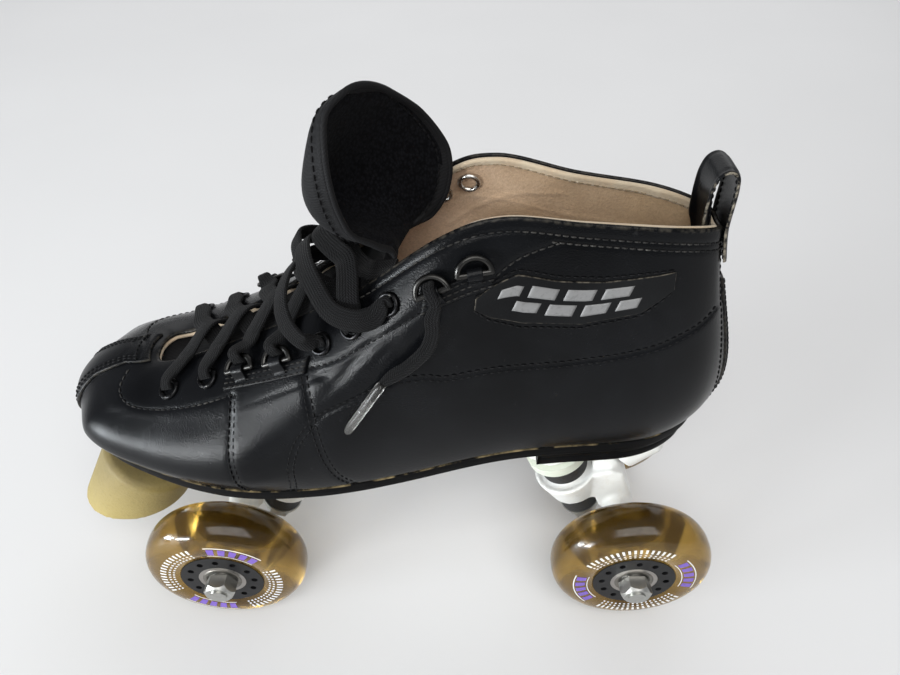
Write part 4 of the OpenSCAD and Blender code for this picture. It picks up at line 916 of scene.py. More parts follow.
def rolled_edge(s, out, inner, turns=5):
    """Rows that take a skin's top edge round from its outer face to its inner one."""
    r = (out - inner) / 2
    rows = []
    for k in range(1, turns + 1):
        a = math.pi * k / (turns + 1)
        p = skin(s, 1.0, inner + r + r * math.cos(a))
        rows.append(p + up_rib(s, 1.0) * r * math.sin(a))
    return rows


RIB_LINE = np.linspace(0, RIBS, WALL_S, endpoint=False)
HEIGHT_LINE = np.linspace(0, 1, WALL_V)
WALL_GRID = np.meshgrid(RIB_LINE, HEIGHT_LINE, indexing="ij")
RELIEF = wall_relief(*WALL_GRID, face_point(*WALL_GRID))


def wall_height(s, v):
    """How far the sewn leather stands out at any place."""
    i = np.asarray(s) % RIBS * WALL_S / RIBS
    j = np.clip(np.asarray(v), 0, 1) * (WALL_V - 1)
    i0 = np.floor(i).astype(int)
    j0 = np.minimum(np.floor(j).astype(int), WALL_V - 2)
    a = i - i0
    b = j - j0
    i0 = i0 % WALL_S
    i1 = (i0 + 1) % WALL_S
    low = RELIEF[i0, j0] * (1 - a) + RELIEF[i1, j0] * a
    high = RELIEF[i0, j0 + 1] * (1 - a) + RELIEF[i1, j0 + 1] * a
    return low * (1 - b) + high * b


def add_upper():
    outer = skin(*WALL_GRID, RELIEF)
    rows = [outer[:, j] for j in range(WALL_V)]
    rows += rolled_edge(RIB_LINE, RELIEF[:, -1].mean(), -UPPER_T)
    rows += [skin(RIB_LINE, v, -UPPER_T) for v in np.linspace(1, 0.9, 4)]
    grid = np.stack(rows, 1)
    wear = np.zeros(grid.shape[:2])
    wear[:, :3] = 0.35
    wear[:, WALL_V - 1:WALL_V + 4] = 0.12
    faces = grid_faces(WALL_S, len(rows), wrap_m=True)
    piece = make("upper_skin", grid.reshape(-1, 3), faces, LEATHER, marks={"wear": wear})
    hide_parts("upper")


# Lap seams and folds of the lining, each a line of (rib, height) places and its depth
LINING_LINES = [
    ([(15.3, 0.66), (15.9, 0.76), (16.4, 0.84), (16.9, 0.9)], 0.5),
    ([(15.2, 0.8), (16, 0.79), (17, 0.8), (18, 0.82)], 0.3),
    ([(18.3, 0.6), (18.6, 0.74), (18.9, 0.86), (19.05, 0.93)], 0.55),
    ([(18.7, 0.62), (18.95, 0.74), (19.25, 0.88)], 0.4),
    ([(14.2, 0.78), (14.7, 0.83), (15.0, 0.9)], 0.35),
    ([(4.7, 0.66), (4.1, 0.78), (3.4, 0.9)], 0.4),
]
LINING_RIM = 0.97
LINING_SAGS = 90


def add_lining():
    count = 520
    s_line = np.linspace(0, RIBS, count, endpoint=False)
    v_line = np.r_[np.linspace(0, 0.6, 24), np.linspace(0.61, 0.94, 40), np.linspace(0.943, 1, 18)]
    s, v = np.meshgrid(s_line, v_line, indexing="ij")
    rng = np.random.default_rng(3)
    sag = np.zeros_like(s)
    for _ in range(LINING_SAGS):
        ds = (s - rng.uniform(0, RIBS) + LAST) % RIBS - LAST
        dv = v - rng.uniform(0.3, 1)
        wide = rng.uniform(3, 11)
        tall = rng.uniform(3, 9)
        sag += rng.uniform(-0.4, 0.25) * bell(ds * RIB_MM, wide) * bell(dv * BACK_MM, tall)
    flat = face_point(s, v).reshape(-1, 3)
    for places, deep in LINING_LINES:
        gap = distance_to(flat, face_point(*dense(places).T)).reshape(s.shape)
        sag += deep * (0.25 - bell(gap, 0.8)) * bell(gap, 4)
    sag -= 0.45 * smooth((v - LINING_RIM) / 0.006)
    inner = skin(s, v, -LINING_IN + np.clip(sag, -0.9, 0.2))
    rows = [skin(s_line, q, -LINING_OUT) for q in (0.9, 0.97, 1.0)]
    rows += rolled_edge(s_line, -LINING_OUT, -LINING_IN - 0.4)
    rolled = len(rows)
    rows += [inner[:, j] for j in reversed(range(len(v_line)))]
    grid = np.stack(rows, 1)
    wear = np.ones(grid.shape[:2])
    wear[:, rolled:] = smooth((v_line[::-1] - LINING_RIM + 0.004) / 0.008)
    faces = grid_faces(count, len(rows), wrap_m=True)
    piece = make("lining_skin", grid.reshape(-1, 3), faces, SUEDE, marks={"wear": wear})
    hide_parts("lining")
    rim = Stitches()
    ring = np.linspace(0, RIBS, 400) % RIBS
    height = LINING_RIM + 0.008
    inside = skin(ring, height, -LINING_IN - 0.45)
    rim.line(inside, -face_normal(ring, height), pitch=3.0, length=2.2, radius=0.28, lift=0.0)
    rim.piece("lining_stitching", TAN_THREAD)


# The sole, the heel and the insole, each through sections across the foot

SOLE_OUT = 0.35
SOLE_CORNER = 1.3
END_RIB = 0.004
HEEL_RIB = 3.2
HEEL_INSET = 2.0
INSOLE_END = 0.25
INSOLE_INSET = 3.7
INSOLE_LIFT = 1.2
INSOLE_T = 3.0


def slow_ends(count):
    """Steps from 0 to 1 that are closest at both ends."""
    return 0.5 - 0.5 * np.cos(np.pi * np.arange(count + 1) / count)


def section_piece(name, sections, look, wear):
    """A closed piece through sections, with one value of wear for each point of a section."""
    grid = np.array(sections, float)
    m, n, _ = grid.shape
    return make(name, grid.reshape(-1, 3), closed_faces(m, n), look, marks={"wear": np.tile(wear, (m, 1))})


def sole_loop(s, low, high, points=7):
    """A section across the sole at a rib: down the outer edge, across, and up the inner edge."""
    a, b = (skin(q, 0.0, SOLE_OUT)[:2] for q in (s, RIBS - s))
    half = np.linalg.norm(a - b) / 2
    way = (a - b) / max(2 * half, 1e-6)
    c = min(SOLE_CORNER, half * 0.9)
    turn = np.linspace(0, math.pi / 2, points)
    inset = half - c * (1 - np.cos(turn))
    w = np.r_[inset[::-1], inset][:, None]
    z = np.r_[high - 0.4 * c * (1 - np.sin(turn[::-1])), low + c * (1 - np.sin(turn))]
    outer, inner = (np.c_[(a + b) / 2 + side * way * w, z] for side in (1, -1))
    return np.vstack([outer, inner[::-1]])


def add_outsole():
    """Thin sole with a welt line round its upper edge."""
    sections = []
    for s in END_RIB + (LAST - 2 * END_RIB) * slow_ends(220):
        x = (face_point(s, 0.0)[0] + face_point(RIBS - s, 0.0)[0]) / 2
        sections.append(sole_loop(s, sole_low(x), sole_top(x) - LAYER_GAP))
    wear = [1.0] * 5 + [0.0] * 6 + [0.3] * 6 + [0.0] * 6 + [1.0] * 5
    piece = section_piece("outsole_edge", sections, SOLE, wear)
    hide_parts("outsole")


def add_heel_block():
    """Stacked heel with a slight waist and a rounded lower edge."""
    heights = np.array([0, 0.25, 0.9, 2.2, 4.2, 4.5, 4.8, 6.8, 8.9, 9.0])
    inset = np.array([0.9, 0.35, 0.05, 0.15, 0.22, 0.45, 0.22, 0.15, 0.02, 0.1])
    sections = []
    for s in END_RIB + HEEL_RIB * np.linspace(0, 1, 91) ** 1.6:
        walls = [skin(q, 0.0, -HEEL_INSET - inset)[:, :2] for q in (s, RIBS - s)]
        outer, inner = (np.c_[wall, DECK_Z + heights] for wall in walls)
        sections.append(np.vstack([outer[::-1], inner]))
    wear = [0.0] * 8 + [0.7, 0.9, 0.9, 0.7] + [0.0] * 8
    piece = section_piece("heel_stack", sections, SOLE, wear)
    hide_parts("heel_block")


def add_insole():
    sections = []
    w = np.linspace(0, 1, 15)
    dish = 0.9 * np.sin(np.pi * w) ** 2
    for s in INSOLE_END + (LAST - 2 * INSOLE_END) * slow_ends(70):
        a, b = (skin(q, 0.0, -INSOLE_INSET) for q in (s, RIBS - s))
        line = (a + (b - a) * w[:, None])[:, :2]
        low = sole_top(line[:, 0]) + INSOLE_LIFT
        sections.append(np.vstack([np.c_[line, low + INSOLE_T - dish], np.c_[line, low][::-1]]))
    piece = section_piece("insole_sheet", sections, SUEDE, np.zeros(2 * len(w)))
    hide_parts("insole")


# Sewn-on sheets

def patch_mesh(places, d_low, d_high, relief=0.0):
    """A sewn-on sheet over a grid of (rib, height) places, with a rounded edge all round."""
    m, n, _ = places.shape
    i, j = np.mgrid[0:m, 0:n]
    ring = np.minimum(np.minimum(i, m - 1 - i), np.minimum(j, n - 1 - j))
    rise = np.choose(np.minimum(ring, 3), [0.0, 0.72, 0.95, 1.0])
    s, v = np.moveaxis(places, -1, 0)
    top = skin(s, v, d_low + (d_high - d_low) * rise + relief * (ring > 2))
    low = skin(s, v, d_low - 0.12)
    start = m * n
    faces = grid_faces(m, n).tolist() + grid_faces(m, n, start=start)[:, ::-1].tolist()
    faces += [[b, a, a + start, b + start] for a, b in rim_edges(m, n)]
    return np.vstack([top.reshape(-1, 3), low.reshape(-1, 3)]), faces, rise


def top_wear(wear):
    """Marks of a sheet that is worn on its upper side only."""
    return {"wear": np.r_[wear.ravel(), np.zeros(wear.size)]}


def eased(count, edge):
    """Places from 0 to 1 with two close steps at both ends, for a rounded edge."""
    inner = np.linspace(2.2 * edge, 1 - 2.2 * edge, count)
    return np.r_[0, 0.4 * edge, 1.1 * edge, inner, 1 - 1.1 * edge, 1 - 0.4 * edge, 1]


seams = Stitches()
dusty_seams = Stitches()
WALL_STITCH = {"pitch": 2.9, "length": 2.1}
STRIP_STITCH = {"pitch": 2.6, "length": 1.9}

TOE_STRIP = np.array([[0.06, 0.5], [0.3, 0.47], [0.55, 0.37], [0.8, 0.42], [0.96, 0.72]])
# Where the strip starts, its span, its folded end, its two sewn lines and its wrinkles
STRIP_FROM = 0.06
STRIP_SPAN = 0.9
STRIP_FOLD = 0.895
STRIP_LINES = (0.8, 0.62)
STRIP_WRINKLES = [(0.8, 0.12, 0.02), (0.9, 0.45, 0.012)]
STAY_HALF = 0.42
STAY_FROM = 0.05
STAY_SPAN = 0.75
STAY_LINES = (-0.84, 0.84, -0.66, 0.66)


def toe_strip_half(v):
    return np.interp(v, *TOE_STRIP.T)


def add_toe_strip():
    """The strip over the toe, with its folded end at the throat and wrinkles just before it."""
    heights = STRIP_FROM + STRIP_SPAN * eased(70, 0.008)
    u, v = np.meshgrid(eased(26, 0.02) * 2 - 1, heights, indexing="ij")
    relief = 0.35 * smooth((v - STRIP_FOLD) / 0.012)
    for at, deep, wide in STRIP_WRINKLES:
        relief -= deep * bell(v - at - 0.02 * np.sin(3 * u + 9 * at), wide)
    vv = np.linspace(0.09, 0.87, 60)
    for edge in STRIP_LINES:
        relief -= 0.22 * bell(np.abs(u) - edge, 0.05) * (v < 0.86)
        for side in (-1, 1):
            ss = LAST + side * edge * toe_strip_half(vv)
            seams.on_face(ss, vv, STRIP_TOP - 0.3, **STRIP_STITCH)
    ss = LAST + np.linspace(-0.8, 0.8, 30) * toe_strip_half(0.88)
    seams.on_face(ss, 0.875, STRIP_TOP - 0.2, **STRIP_STITCH)
    places = np.stack([LAST + toe_strip_half(v) * u, v], -1)
    verts, faces, rise = patch_mesh(places, LAYER_GAP, STRIP_TOP - 0.2, relief)
    torn = 1.6 * bell(u - 0.86, 0.05) * bell(v - 0.86, 0.014)
    marks = top_wear(np.clip(torn, 0, 1) + 0.12 * (rise < 0.9))
    piece = make("toe_strip_skin", verts, faces, STRIP_LEATHER, marks=marks)
    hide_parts("toe_strip")


def add_backstay():
    heights = STAY_FROM + STAY_SPAN * eased(40, 0.012)
    u, v = np.meshgrid(eased(16, 0.03) * 2 - 1, heights, indexing="ij")
    places = np.stack([RIBS + STAY_HALF * u, v], -1)
    verts, faces, rise = patch_mesh(places, LAYER_GAP, STRIP_TOP - 0.3)
    piece = make("backstay_skin", verts, faces, STRIP_LEATHER, marks=top_wear(0.15 * (rise < 0.9)))
    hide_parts("backstay")
    vv = np.linspace(0.07, 0.78, 50)
    for edge in STAY_LINES:
        seams.on_face(RIBS + edge * STAY_HALF, vv, STRIP_TOP - 0.35, pitch=2.8, length=2.0)


LEAF_TOP = np.array([[1.92, 0.86], [2.8, 0.81], [3.35, 0.8], [3.8, 0.81], [4.1, 0.775], [4.35, 0.735]])
LEAF_LOW = np.array([[1.92, 0.8], [2.36, 0.71], [3, 0.66], [3.7, 0.65], [4.1, 0.67], [4.35, 0.7]])
PANEL_TOP = 0.75
DASH_BETWEEN = (0.8, 0.98)
# Two staggered rows of reflective dashes: start, end, low and high share of the leaf's height
DASHES = [
    (0.2, 0.3, 0.2, 0.46), (0.34, 0.46, 0.2, 0.46), (0.5, 0.63, 0.2, 0.46), (0.67, 0.79, 0.24, 0.46),
    (0.24, 0.37, 0.56, 0.82), (0.41, 0.55, 0.56, 0.82), (0.59, 0.72, 0.56, 0.82), (0.76, 0.87, 0.56, 0.78),
]


def leaf_place(t, u, side):
    """A place of the side panel: t from its back to its front, u from its lower to its upper edge."""
    back, front = LEAF_TOP[[0, -1], 0]
    s = back + (front - back) * np.asarray(t)
    low = np.interp(s, *LEAF_LOW.T)
    high = np.interp(s, *LEAF_TOP.T)
    return side_s(s, side), low + (high - low) * u


def add_side_panel(name, side):
    """Leaf-shaped inlay framed by stitching, with plain reflective dashes."""
    t, u = np.meshgrid(eased(60, 0.006), eased(16, 0.02), indexing="ij")
    places = np.stack(leaf_place(t, u, side), -1)[::side]
    verts, faces, rise = patch_mesh(places, LAYER_GAP, PANEL_TOP)
    piece = make(name, verts, faces, PANEL, marks=top_wear(0.55 * (rise < 0.9)))
    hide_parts(name.replace("_inlay", ""))
    t, u = np.meshgrid(np.linspace(0, 1, 10), np.linspace(0, 1, 6), indexing="ij")
    parts = []
    for t0, t1, u0, u1 in DASHES:
        dash = leaf_place(t0 + (t1 - t0) * t - 0.02 * u, u0 + (u1 - u0) * u, side)
        parts.append(patch_mesh(np.stack(dash, -1)[::side], *DASH_BETWEEN)[:2])
    dashes = make(name + "_dashes", *joined(parts), SILVER_FOIL)
    for edge in (-0.1, 1.1):
        s, v = leaf_place(np.linspace(0.03, 0.985, 70), edge, side)
        seams.on_face(s, v, 0.1, **WALL_STITCH)


def tab_place(span, t, u, side):
    """A place of a ring tab: t along it and u from its lower to its upper edge."""
    s0, s1, v0, v1, drop = span
    return side_s(s0 + (s1 - s0) * t, side), v0 + (v1 - v0) * t - drop + drop * u


# Path of a ring's keeper strap in its own section: up the wall and out of the leather
KEEPER = np.array([
    (-4.8, 1.3), (-3.6, 1.7), (-2.4, 2.9), (-1.3, 4.1), (0.1, 4.45), (1.3, 3.9), (1.75, 2.7), (1.3, 1.6),
    (0.2, 1.0),
])
KEEPER_HALF = 2.6
KEEPER_T = 0.8


def keeper_mesh(p, side):
    """A leather strap folded round a ring's bar."""
    base, up, out = hole_axes(p, side)
    path = base + KEEPER[:, :1] * up + KEEPER[:, 1:] * out
    way = np.gradient(KEEPER, axis=0)
    ups = unit(way[:, :1] * out - way[:, 1:] * up)
    return band_mesh(path, ups, [2 * KEEPER_HALF] * len(path), KEEPER_T, 40, 0.12)[:2]


def add_tabs(name, span, rings):
    parts = []
    t, u = np.meshgrid(eased(36, 0.012), eased(8, 0.06), indexing="ij")
    for side in (1, -1):
        places = np.stack(tab_place(span, t, u, side), -1)[::side]
        parts.append(patch_mesh(places, LAYER_GAP, STRIP_TOP)[:2])
        parts += [keeper_mesh(p, side) for p in rings]
        for share in (0.16, 0.45, 0.74):
            s, v = tab_place(span, np.linspace(0.03, 0.97, 50), share, side)
            dusty_seams.on_face(s, v, STRIP_TOP, pitch=2.5, length=2.0)
    verts, faces = joined(parts)
    piece = make(name + "_straps", verts, faces, STRIP_LEATHER, marks={"wear": np.zeros(len(verts))})
    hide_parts(name)


def add_seams():
    for side in (1, -1):
        for places in (FRONT_SEAM, MIDDLE_SEAM, SHANK_SEAM, LONG_SEAM):
            seams.on_wall(places, side, (-DOUBLE_GAP, DOUBLE_GAP), **WALL_STITCH)
        for places in (HEEL_SEAM, QUARTER_SEAM):
            seams.on_wall(places, side, **WALL_STITCH)
        for places in (TOE_SEAM, COLLAR_SEAM, COLLAR_SEAM_LOW, YOKE_SEAM):
            dusty_seams.on_wall(places, side, pitch=2.9, length=2.2)
    for collector, name, look in (
        (seams, "boot_stitching", THREAD),
        (dusty_seams, "boot_dusty_stitching", DUSTY_THREAD),
    ):
        collector.piece(name, look)


add_upper()
add_lining()
add_outsole()
add_heel_block()
add_insole()
add_toe_strip()
add_backstay()
add_side_panel("side_panel_lateral_inlay", 1)
add_side_panel("side_panel_medial_inlay", -1)
add_tabs("forefoot_tabs", (6.34, 7.18, 0.762, 0.774, 0.08), FORE_RINGS)
add_tabs("ankle_tabs", (4.12, 5.12, 0.838, 0.795, 0.07), [ANKLE_RING, TOP_RING])
add_seams()


# The tongue: one padded piece from under the laces to its free top, twill outside and fleece inside

TONGUE_UNDER = LINING_IN + 0.5
TONGUE_HALF = (0.8, 0.87, 0.94)
# Free part from its bend up: outer edge, two controls and inner edge, with Z from the plate's top
FLAP = np.array([
    [[8.6, 12, 95.7], [11.5, 6, 94.5], [11, -6, 94.5], [7, -13.2, 95]],
    [[15, 13, 104], [19, 8, 102.8], [15, -9, 101], [-3, -14.5, 100]],
    [[22.8, 15.2, 110], [34, 11, 109], [29, -14, 106.5], [-8, -16, 107]],
    [[26, 16.5, 117.5], [43.5, 14, 114.5], [40, -18, 111.5], [-10, -17, 113.5]],
    [[28, 18, 129], [46, 16, 123.5], [42, -21, 119.5], [-10.5, -18, 120.5]],
    [[28.6, 17.5, 142], [42, 14, 136.5], [35, -20, 131], [-8.5, -19, 128.5]],
    [[27.8, 12.5, 153], [34, 8, 150.5], [22, -14, 145.5], [0, -16.5, 141.5]],
    [[22.4, 6.8, 157.6], [19.4, 3.4, 159.4], [15.2, -2.4, 157.6], [10.2, -7.8, 152.6]],
], float)
TONGUE_COLS = 60
TONGUE_ACROSS = 46
TONGUE_ALONG = 120
# Ribs under which the base starts and ends, and the place of the free part's rows where it goes on
BASE_RIBS = (9.5, 6.0)
FLAP_FROM = 0.25
# Half the thickness at the bound edge, how much the pad adds to it, and from and over which distance
RIM_HALF = 0.75
PAD_RISE = 1.55
PAD_FROM = 2.0
PAD_OVER = 9.0
TONGUE_DENTS = 30
BINDING = 4.2
BINDING_STEPS = 3
BINDING_R = 1.05
SEWN_FROM = 106.0


def tongue_base_row(s):
    """Middle of the tongue's thickness across the throat at a rib."""
    u = np.linspace(0, 6, TONGUE_COLS)
    outer, inner = (skin(q, np.array(TONGUE_HALF), -TONGUE_UNDER) for q in (s, RIBS - s))
    top = skin(np.array([s, RIBS - s]), 1.0, -TONGUE_UNDER).mean(0)
    line = spline(np.vstack([outer, top, inner[::-1]]), u)
    line[:, 2] -= TONGUE_T / 2 * np.interp(u, range(7), [0.25, 0.7, 0.95, 1, 0.95, 0.7, 0.25])
    return line


def flap_row(t):
    controls = spline(FLAP, np.array([t]))[0]
    u = np.linspace(0, 1, TONGUE_COLS)
    return bezier_weights(u) @ controls + [0, 0, DECK_Z]


def bound_steps(count, low):
    """Lengths across a bound sheet: even steps through each bound edge, then across the middle."""
    def lengths(total):
        edge = min(BINDING, total / 4)
        first = np.linspace(0, edge, BINDING_STEPS + 1) if low else np.zeros(1)
        last = total - np.linspace(edge, 0, BINDING_STEPS + 1)
        middle = np.linspace(first[-1], last[0], count)[1:-1]
        return np.r_[first, middle, last]
    return lengths


def tongue_middle():
    """The sheet halfway through the tongue, from the toe end up to the free top."""
    base = [tongue_base_row(s) for s in np.linspace(*BASE_RIBS, 12)]
    flap = [flap_row(t) for t in np.r_[FLAP_FROM, np.linspace(1, len(FLAP) - 1, 7)]]
    stations = np.array(base + flap)
    dense_rows = spline(stations, np.linspace(0, len(stations) - 1, 240))
    across = np.stack([at_lengths(line, bound_steps(TONGUE_ACROSS, True)) for line in dense_rows])
    along = bound_steps(TONGUE_ALONG, False)
    columns = [at_lengths(across[:, j], along) for j in range(across.shape[1])]
    return np.stack(columns, 1)


def edge_distance(mid):
    """How far each point of the tongue's sheet lies from its bound edge."""
    step = np.linalg.norm(np.diff(mid, axis=1), axis=2)
    left = np.cumsum(np.c_[np.zeros(len(mid)), step], 1)
    rise = np.linalg.norm(np.diff(mid, axis=0), axis=2).mean(1)
    from_top = np.r_[np.cumsum(rise[::-1])[::-1], 0][:, None]
    return np.minimum(np.minimum(left, left[:, -1:] - left), from_top)


def tongue_dents(m, n):
    rng = np.random.default_rng(11)
    dent = np.zeros((m, n))
    i, j = np.mgrid[0:m, 0:n]
    for _ in range(TONGUE_DENTS):
        up = i - rng.uniform(0.35, 1) * m
        over = j - rng.uniform(0, n)
        long = rng.uniform(5, 14)
        wide = rng.uniform(4, 10)
        dent += rng.uniform(-0.3, 0.3) * bell(up, long) * bell(over, wide)
    return dent


def add_tongue():
    mid = tongue_middle()
    m, n, _ = mid.shape
    normal = unit(np.cross(np.gradient(mid, axis=1), np.gradient(mid, axis=0)))
    if normal[3 * m // 4, n // 2, 0] < 0:
        normal = -normal
    inset = edge_distance(mid)
    # Thin at the bound edge, pinched by its sewn line and full in the middle
    half = RIM_HALF + PAD_RISE * smooth((inset - PAD_FROM) / PAD_OVER)
    half += 0.35 * bell(inset - PAD_FROM, 1.2) - 0.5 * bell(inset - BINDING, 0.9)
    half *= 0.75 + 0.25 * smooth(np.arange(m) / (0.3 * m))[:, None]
    dent = tongue_dents(m, n)
    front = mid + normal * (half + dent)[..., None]
    back = mid - normal * (half - dent)[..., None]
    quads = grid_faces(m, n)
    rim = [[a, b, b + m * n, a + m * n] for a, b in rim_edges(m, n)]
    sheet = np.vstack([front.reshape(-1, 3), back.reshape(-1, 3)])
    # The rolled rim of the binding
    edge_line = np.vstack([mid[:, 0], mid[m - 1, 1:n - 1], mid[::-1, n - 1]])
    tube = tube_mesh(even(edge_line, 1.5), BINDING_R)
    verts, faces = joined([(sheet, [*quads[:, ::-1], *(quads + m * n), *rim]), tube])
    # Fleece on the back, inside the binding
    bound = (inset[:-1, :-1] + inset[1:, :-1] + inset[1:, 1:] + inset[:-1, 1:]) / 4 < BINDING
    split = np.zeros(len(faces), int)
    split[len(quads):2 * len(quads)] = ~bound.ravel()
    piece = make("tongue_pad", verts, faces, [TWILL, FLEECE], None, split=split)
    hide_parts("tongue_base", "tongue_flap")
    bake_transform(piece)
    # One sewn line round the free part, inside the binding
    first = int(np.argmax(mid[:, n // 2, 2] > DECK_Z + SEWN_FROM))
    k = BINDING_STEPS
    path = [(i, k) for i in range(first, m - k)] + [(m - 1 - k, j) for j in range(k, n - k)]
    path += [(i, n - 1 - k) for i in range(m - 1 - k, first - 1, -1)]
    rows, cols = np.transpose(path)
    sewn = Stitches()
    for face, flip in ((front, 1), (back, -1)):
        sewn.line(face[rows, cols], flip * normal[rows, cols], pitch=3.0, length=2.2, lift=0.1)
    sewn.piece("tongue_stitching", THREAD, "tongue")


add_tongue()


# The lace: flat braid through the rows, the loose upper loops and the two free ends

LACE_ROWS = [
    (EYELETS[0], 7.95, 7.5, False),
    (EYELETS[1], 7.45, 7.05, False),
    (FORE_RINGS[0], 7.0, 6.65, True),
    (FORE_RINGS[1], 6.6, 6.28, True),
]
# Loose loops: side, hole, way over the throat with Z from the plate's top, rib where it dives under
LOOPS = [
    (1, EYELETS[2], [
        (43.4, 31.5, 75.8), (48.2, 29.4, 81), (51, 23, 86), (51, 13, 89), (48.6, 3, 90),
        (44.6, -6, 89), (38.2, -11.4, 83.4),
    ], 6.1),
    (1, EYELETS[4], [
        (16.4, 33, 88.6), (22.9, 33.4, 87.2), (31.7, 29.2, 87.8), (38.4, 20.4, 92.4), (43, 10.4, 94.8),
        (45.4, 0, 95), (44.6, -7, 94), (39.6, -12, 91), (30.5, -14.6, 87.2),
    ], 5.8),
    (1, EYELETS[3], [
        (25.2, 28.6, 86.6), (25.6, 26, 92.2), (26, 19, 97.6), (27.5, 13, 99.4), (31.5, 8, 99.6),
        (36.5, 1, 99.6), (38.5, -5, 99.8), (35, -10.5, 100), (25, -14.6, 99),
    ], 5.6),
    (-1, EYELETS[2], [
        (41, -30.4, 78.6), (47.6, -29, 82.6), (52.5, -23.8, 85), (52.4, -17.5, 85), (49.4, -9, 84),
        (44.6, 1, 84.6), (38.4, 9.2, 84.2),
    ], 5.97),
    (-1, EYELETS[3], [
        (27, -29.2, 87.2), (29.2, -26.6, 92), (29.6, -19.6, 94.6), (29.6, -9.4, 93.6), (27, 1, 92.6),
        (22, 9.4, 93.4), (17, 14.6, 95.2),
    ], 5.5),
]
LOOP_DIVE = (2.3, -1.2)
LOOP_AXIS = (18, 0, 60)
LOOP_LEAN = (0.7, 1, 0.6)
OVER = 5.6
UNDER = 2.4
LACE_OVER = LACE_T / 2 + 1
LACE_START = LACE_T / 2 + LAYER_GAP
EDGE_DIP = LACE_T / 2 + 1.6
RIM_CREST = LAYER_GAP + 1.2 + LACE_T / 2 + 0.4
RING_CREST = RING_LIFT + WIRE_R + LACE_T / 2 + 0.5
ACROSS_THROAT = unit(np.array([0.55, 0, 1.0]))
# Starts of a row or loop at its hole: up the wall and out of the leather
RING_START = [
    (RING_SLOT - 0.1, LACE_START + 0.4), (RING_SLOT, RING_LIFT), (RING_SLOT + 1.2, RING_CREST),
    (BOW_R + 1, RING_CREST + 0.2),
]
EYELET_START = [(-0.8, LACE_START), (EYELET_R + 0.6, RIM_CREST)]
LOOP_START = [(-0.8, LACE_START), (0.6, LACE_START + 1.3)]


def under_edge(s, side):
    return face_point(s, 1.0) + np.array([0, side * (LACE_T + 1), -EDGE_DIP])


def lace_row(entry, side):
    p, own, far, is_ring = entry
    s = side_s(p[0], side)
    own_s = side_s(own, side)
    far_s = side_s(far, -side)
    rise = OVER if side > 0 else UNDER
    mid = (face_point(own_s, 1.0) + face_point(far_s, 1.0)) / 2 + [0, 0, rise]
    _, up, n0 = hole_axes(p, side)
    n1 = face_normal(own_s, 0.95)
    points = [by_hole(p, side, *q) for q in (RING_START if is_ring else EYELET_START)]
    ups = [-up, -up, n0 - up, n0] if is_ring else [n0, n0]
    widths = [ROW_NECK] * len(points) + [ROW_W] * 4
    edge_v = (p[1] + 1) / 2 + 0.03
    points += [skin((s + own_s) / 2, edge_v, LACE_OVER + 0.4), skin(own_s, 1.0, LACE_OVER)]
    points += [mid, under_edge(far_s, side)]
    ups += [n1, n1, ACROSS_THROAT, ACROSS_THROAT]
    return np.array(points), np.array(ups), widths


def lace_loop(entry):
    side, p, way, far = entry
    way = np.array(way, float)
    n0 = hole_axes(p, side)[2]
    end = under_edge(side_s(far, -side), side) + [0, side * LOOP_DIVE[0], LOOP_DIVE[1]]
    start = [by_hole(p, side, *q) for q in LOOP_START]
    # The band faces away from the middle of the throat
    lean = way - LOOP_AXIS
    lean[:, 0] = lean[:, 0].clip(0)
    points = np.vstack([start, way + [0, 0, DECK_Z], end])
    ups = np.vstack([n0, n0, unit(lean * LOOP_LEAN), ACROSS_THROAT])
    return points, ups, [ROW_NECK] * 2 + [ROW_W] * (len(way) + 1)


def add_laces():
    routes = [lace_row(entry, side) for entry in LACE_ROWS for side in (1, -1)]
    routes += [lace_loop(entry) for entry in LOOPS]
    parts = []
    uvs = []
    for points, ups, widths in routes:
        verts, faces, uv, _ = band_mesh(points, ups, widths, LACE_T * 0.86, 12 * len(points))
        parts.append((verts, faces))
        uvs.append(uv)
    verts, faces = joined(parts)
    piece = make("lace_rows", verts, faces, BRAID, uv=np.vstack(uvs))
    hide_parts("laces")


BAR_CREST = RING_LIFT + 1.95 + LACE_T / 2 + 0.3
END_START = [
    (RING_SLOT - 0.1, LACE_START + 0.4), (RING_SLOT - 0.1, RING_LIFT + 0.2),
    (RING_SLOT - 1.2, RING_LIFT + 2.7), (0, BAR_CREST), (-3.6, BAR_CREST - 0.2),
]
# Rib, height and distance from the leather of the hanging part and of the sleeve's tip
LACE_END = [
    (4.96, 0.72, 5.2), (4.93, 0.67, 4.5), (4.97, 0.62, 4), (5.14, 0.58, 3.8), (5.3, 0.565, 3.8),
    (5.42, 0.55, 3.8),
]
AGLET_TIP = (5.68, 0.42, 3.8)
AGLET_L = 26.0
AGLET_R = 2.0
# Places along the sleeve and along the braid in it, with their shares of the radius
SLEEVE_SHAPE = ([0, 0.03, 0.1, 0.85, 0.97, 1], [0.78, 0.95, 0.9, 0.86, 0.8, 0.55])
CORE_SHAPE = ([0, 0.9, 1], [1, 0.8, 0.3])


def end_point(q, side):
    return skin(side_s(q[0], side), q[1], q[2])


def clear_sleeve():
    look = Look("clear_sleeve", (0.9, 0.89, 0.86), 0.14, {"Transmission Weight": 0.97, "IOR": 1.25})
    wrinkle = look.noise(330, 4)
    tint = look.stain((0.92, 0.91, 0.88), (0.8, 0.78, 0.72), wrinkle, 0.45, 0.75)
    return look.done(tint, look.level(wrinkle, 0.3, 0.7, 0.08, 0.24), look.bump(wrinkle, 0.0003, 0.4))


SLEEVE = clear_sleeve()


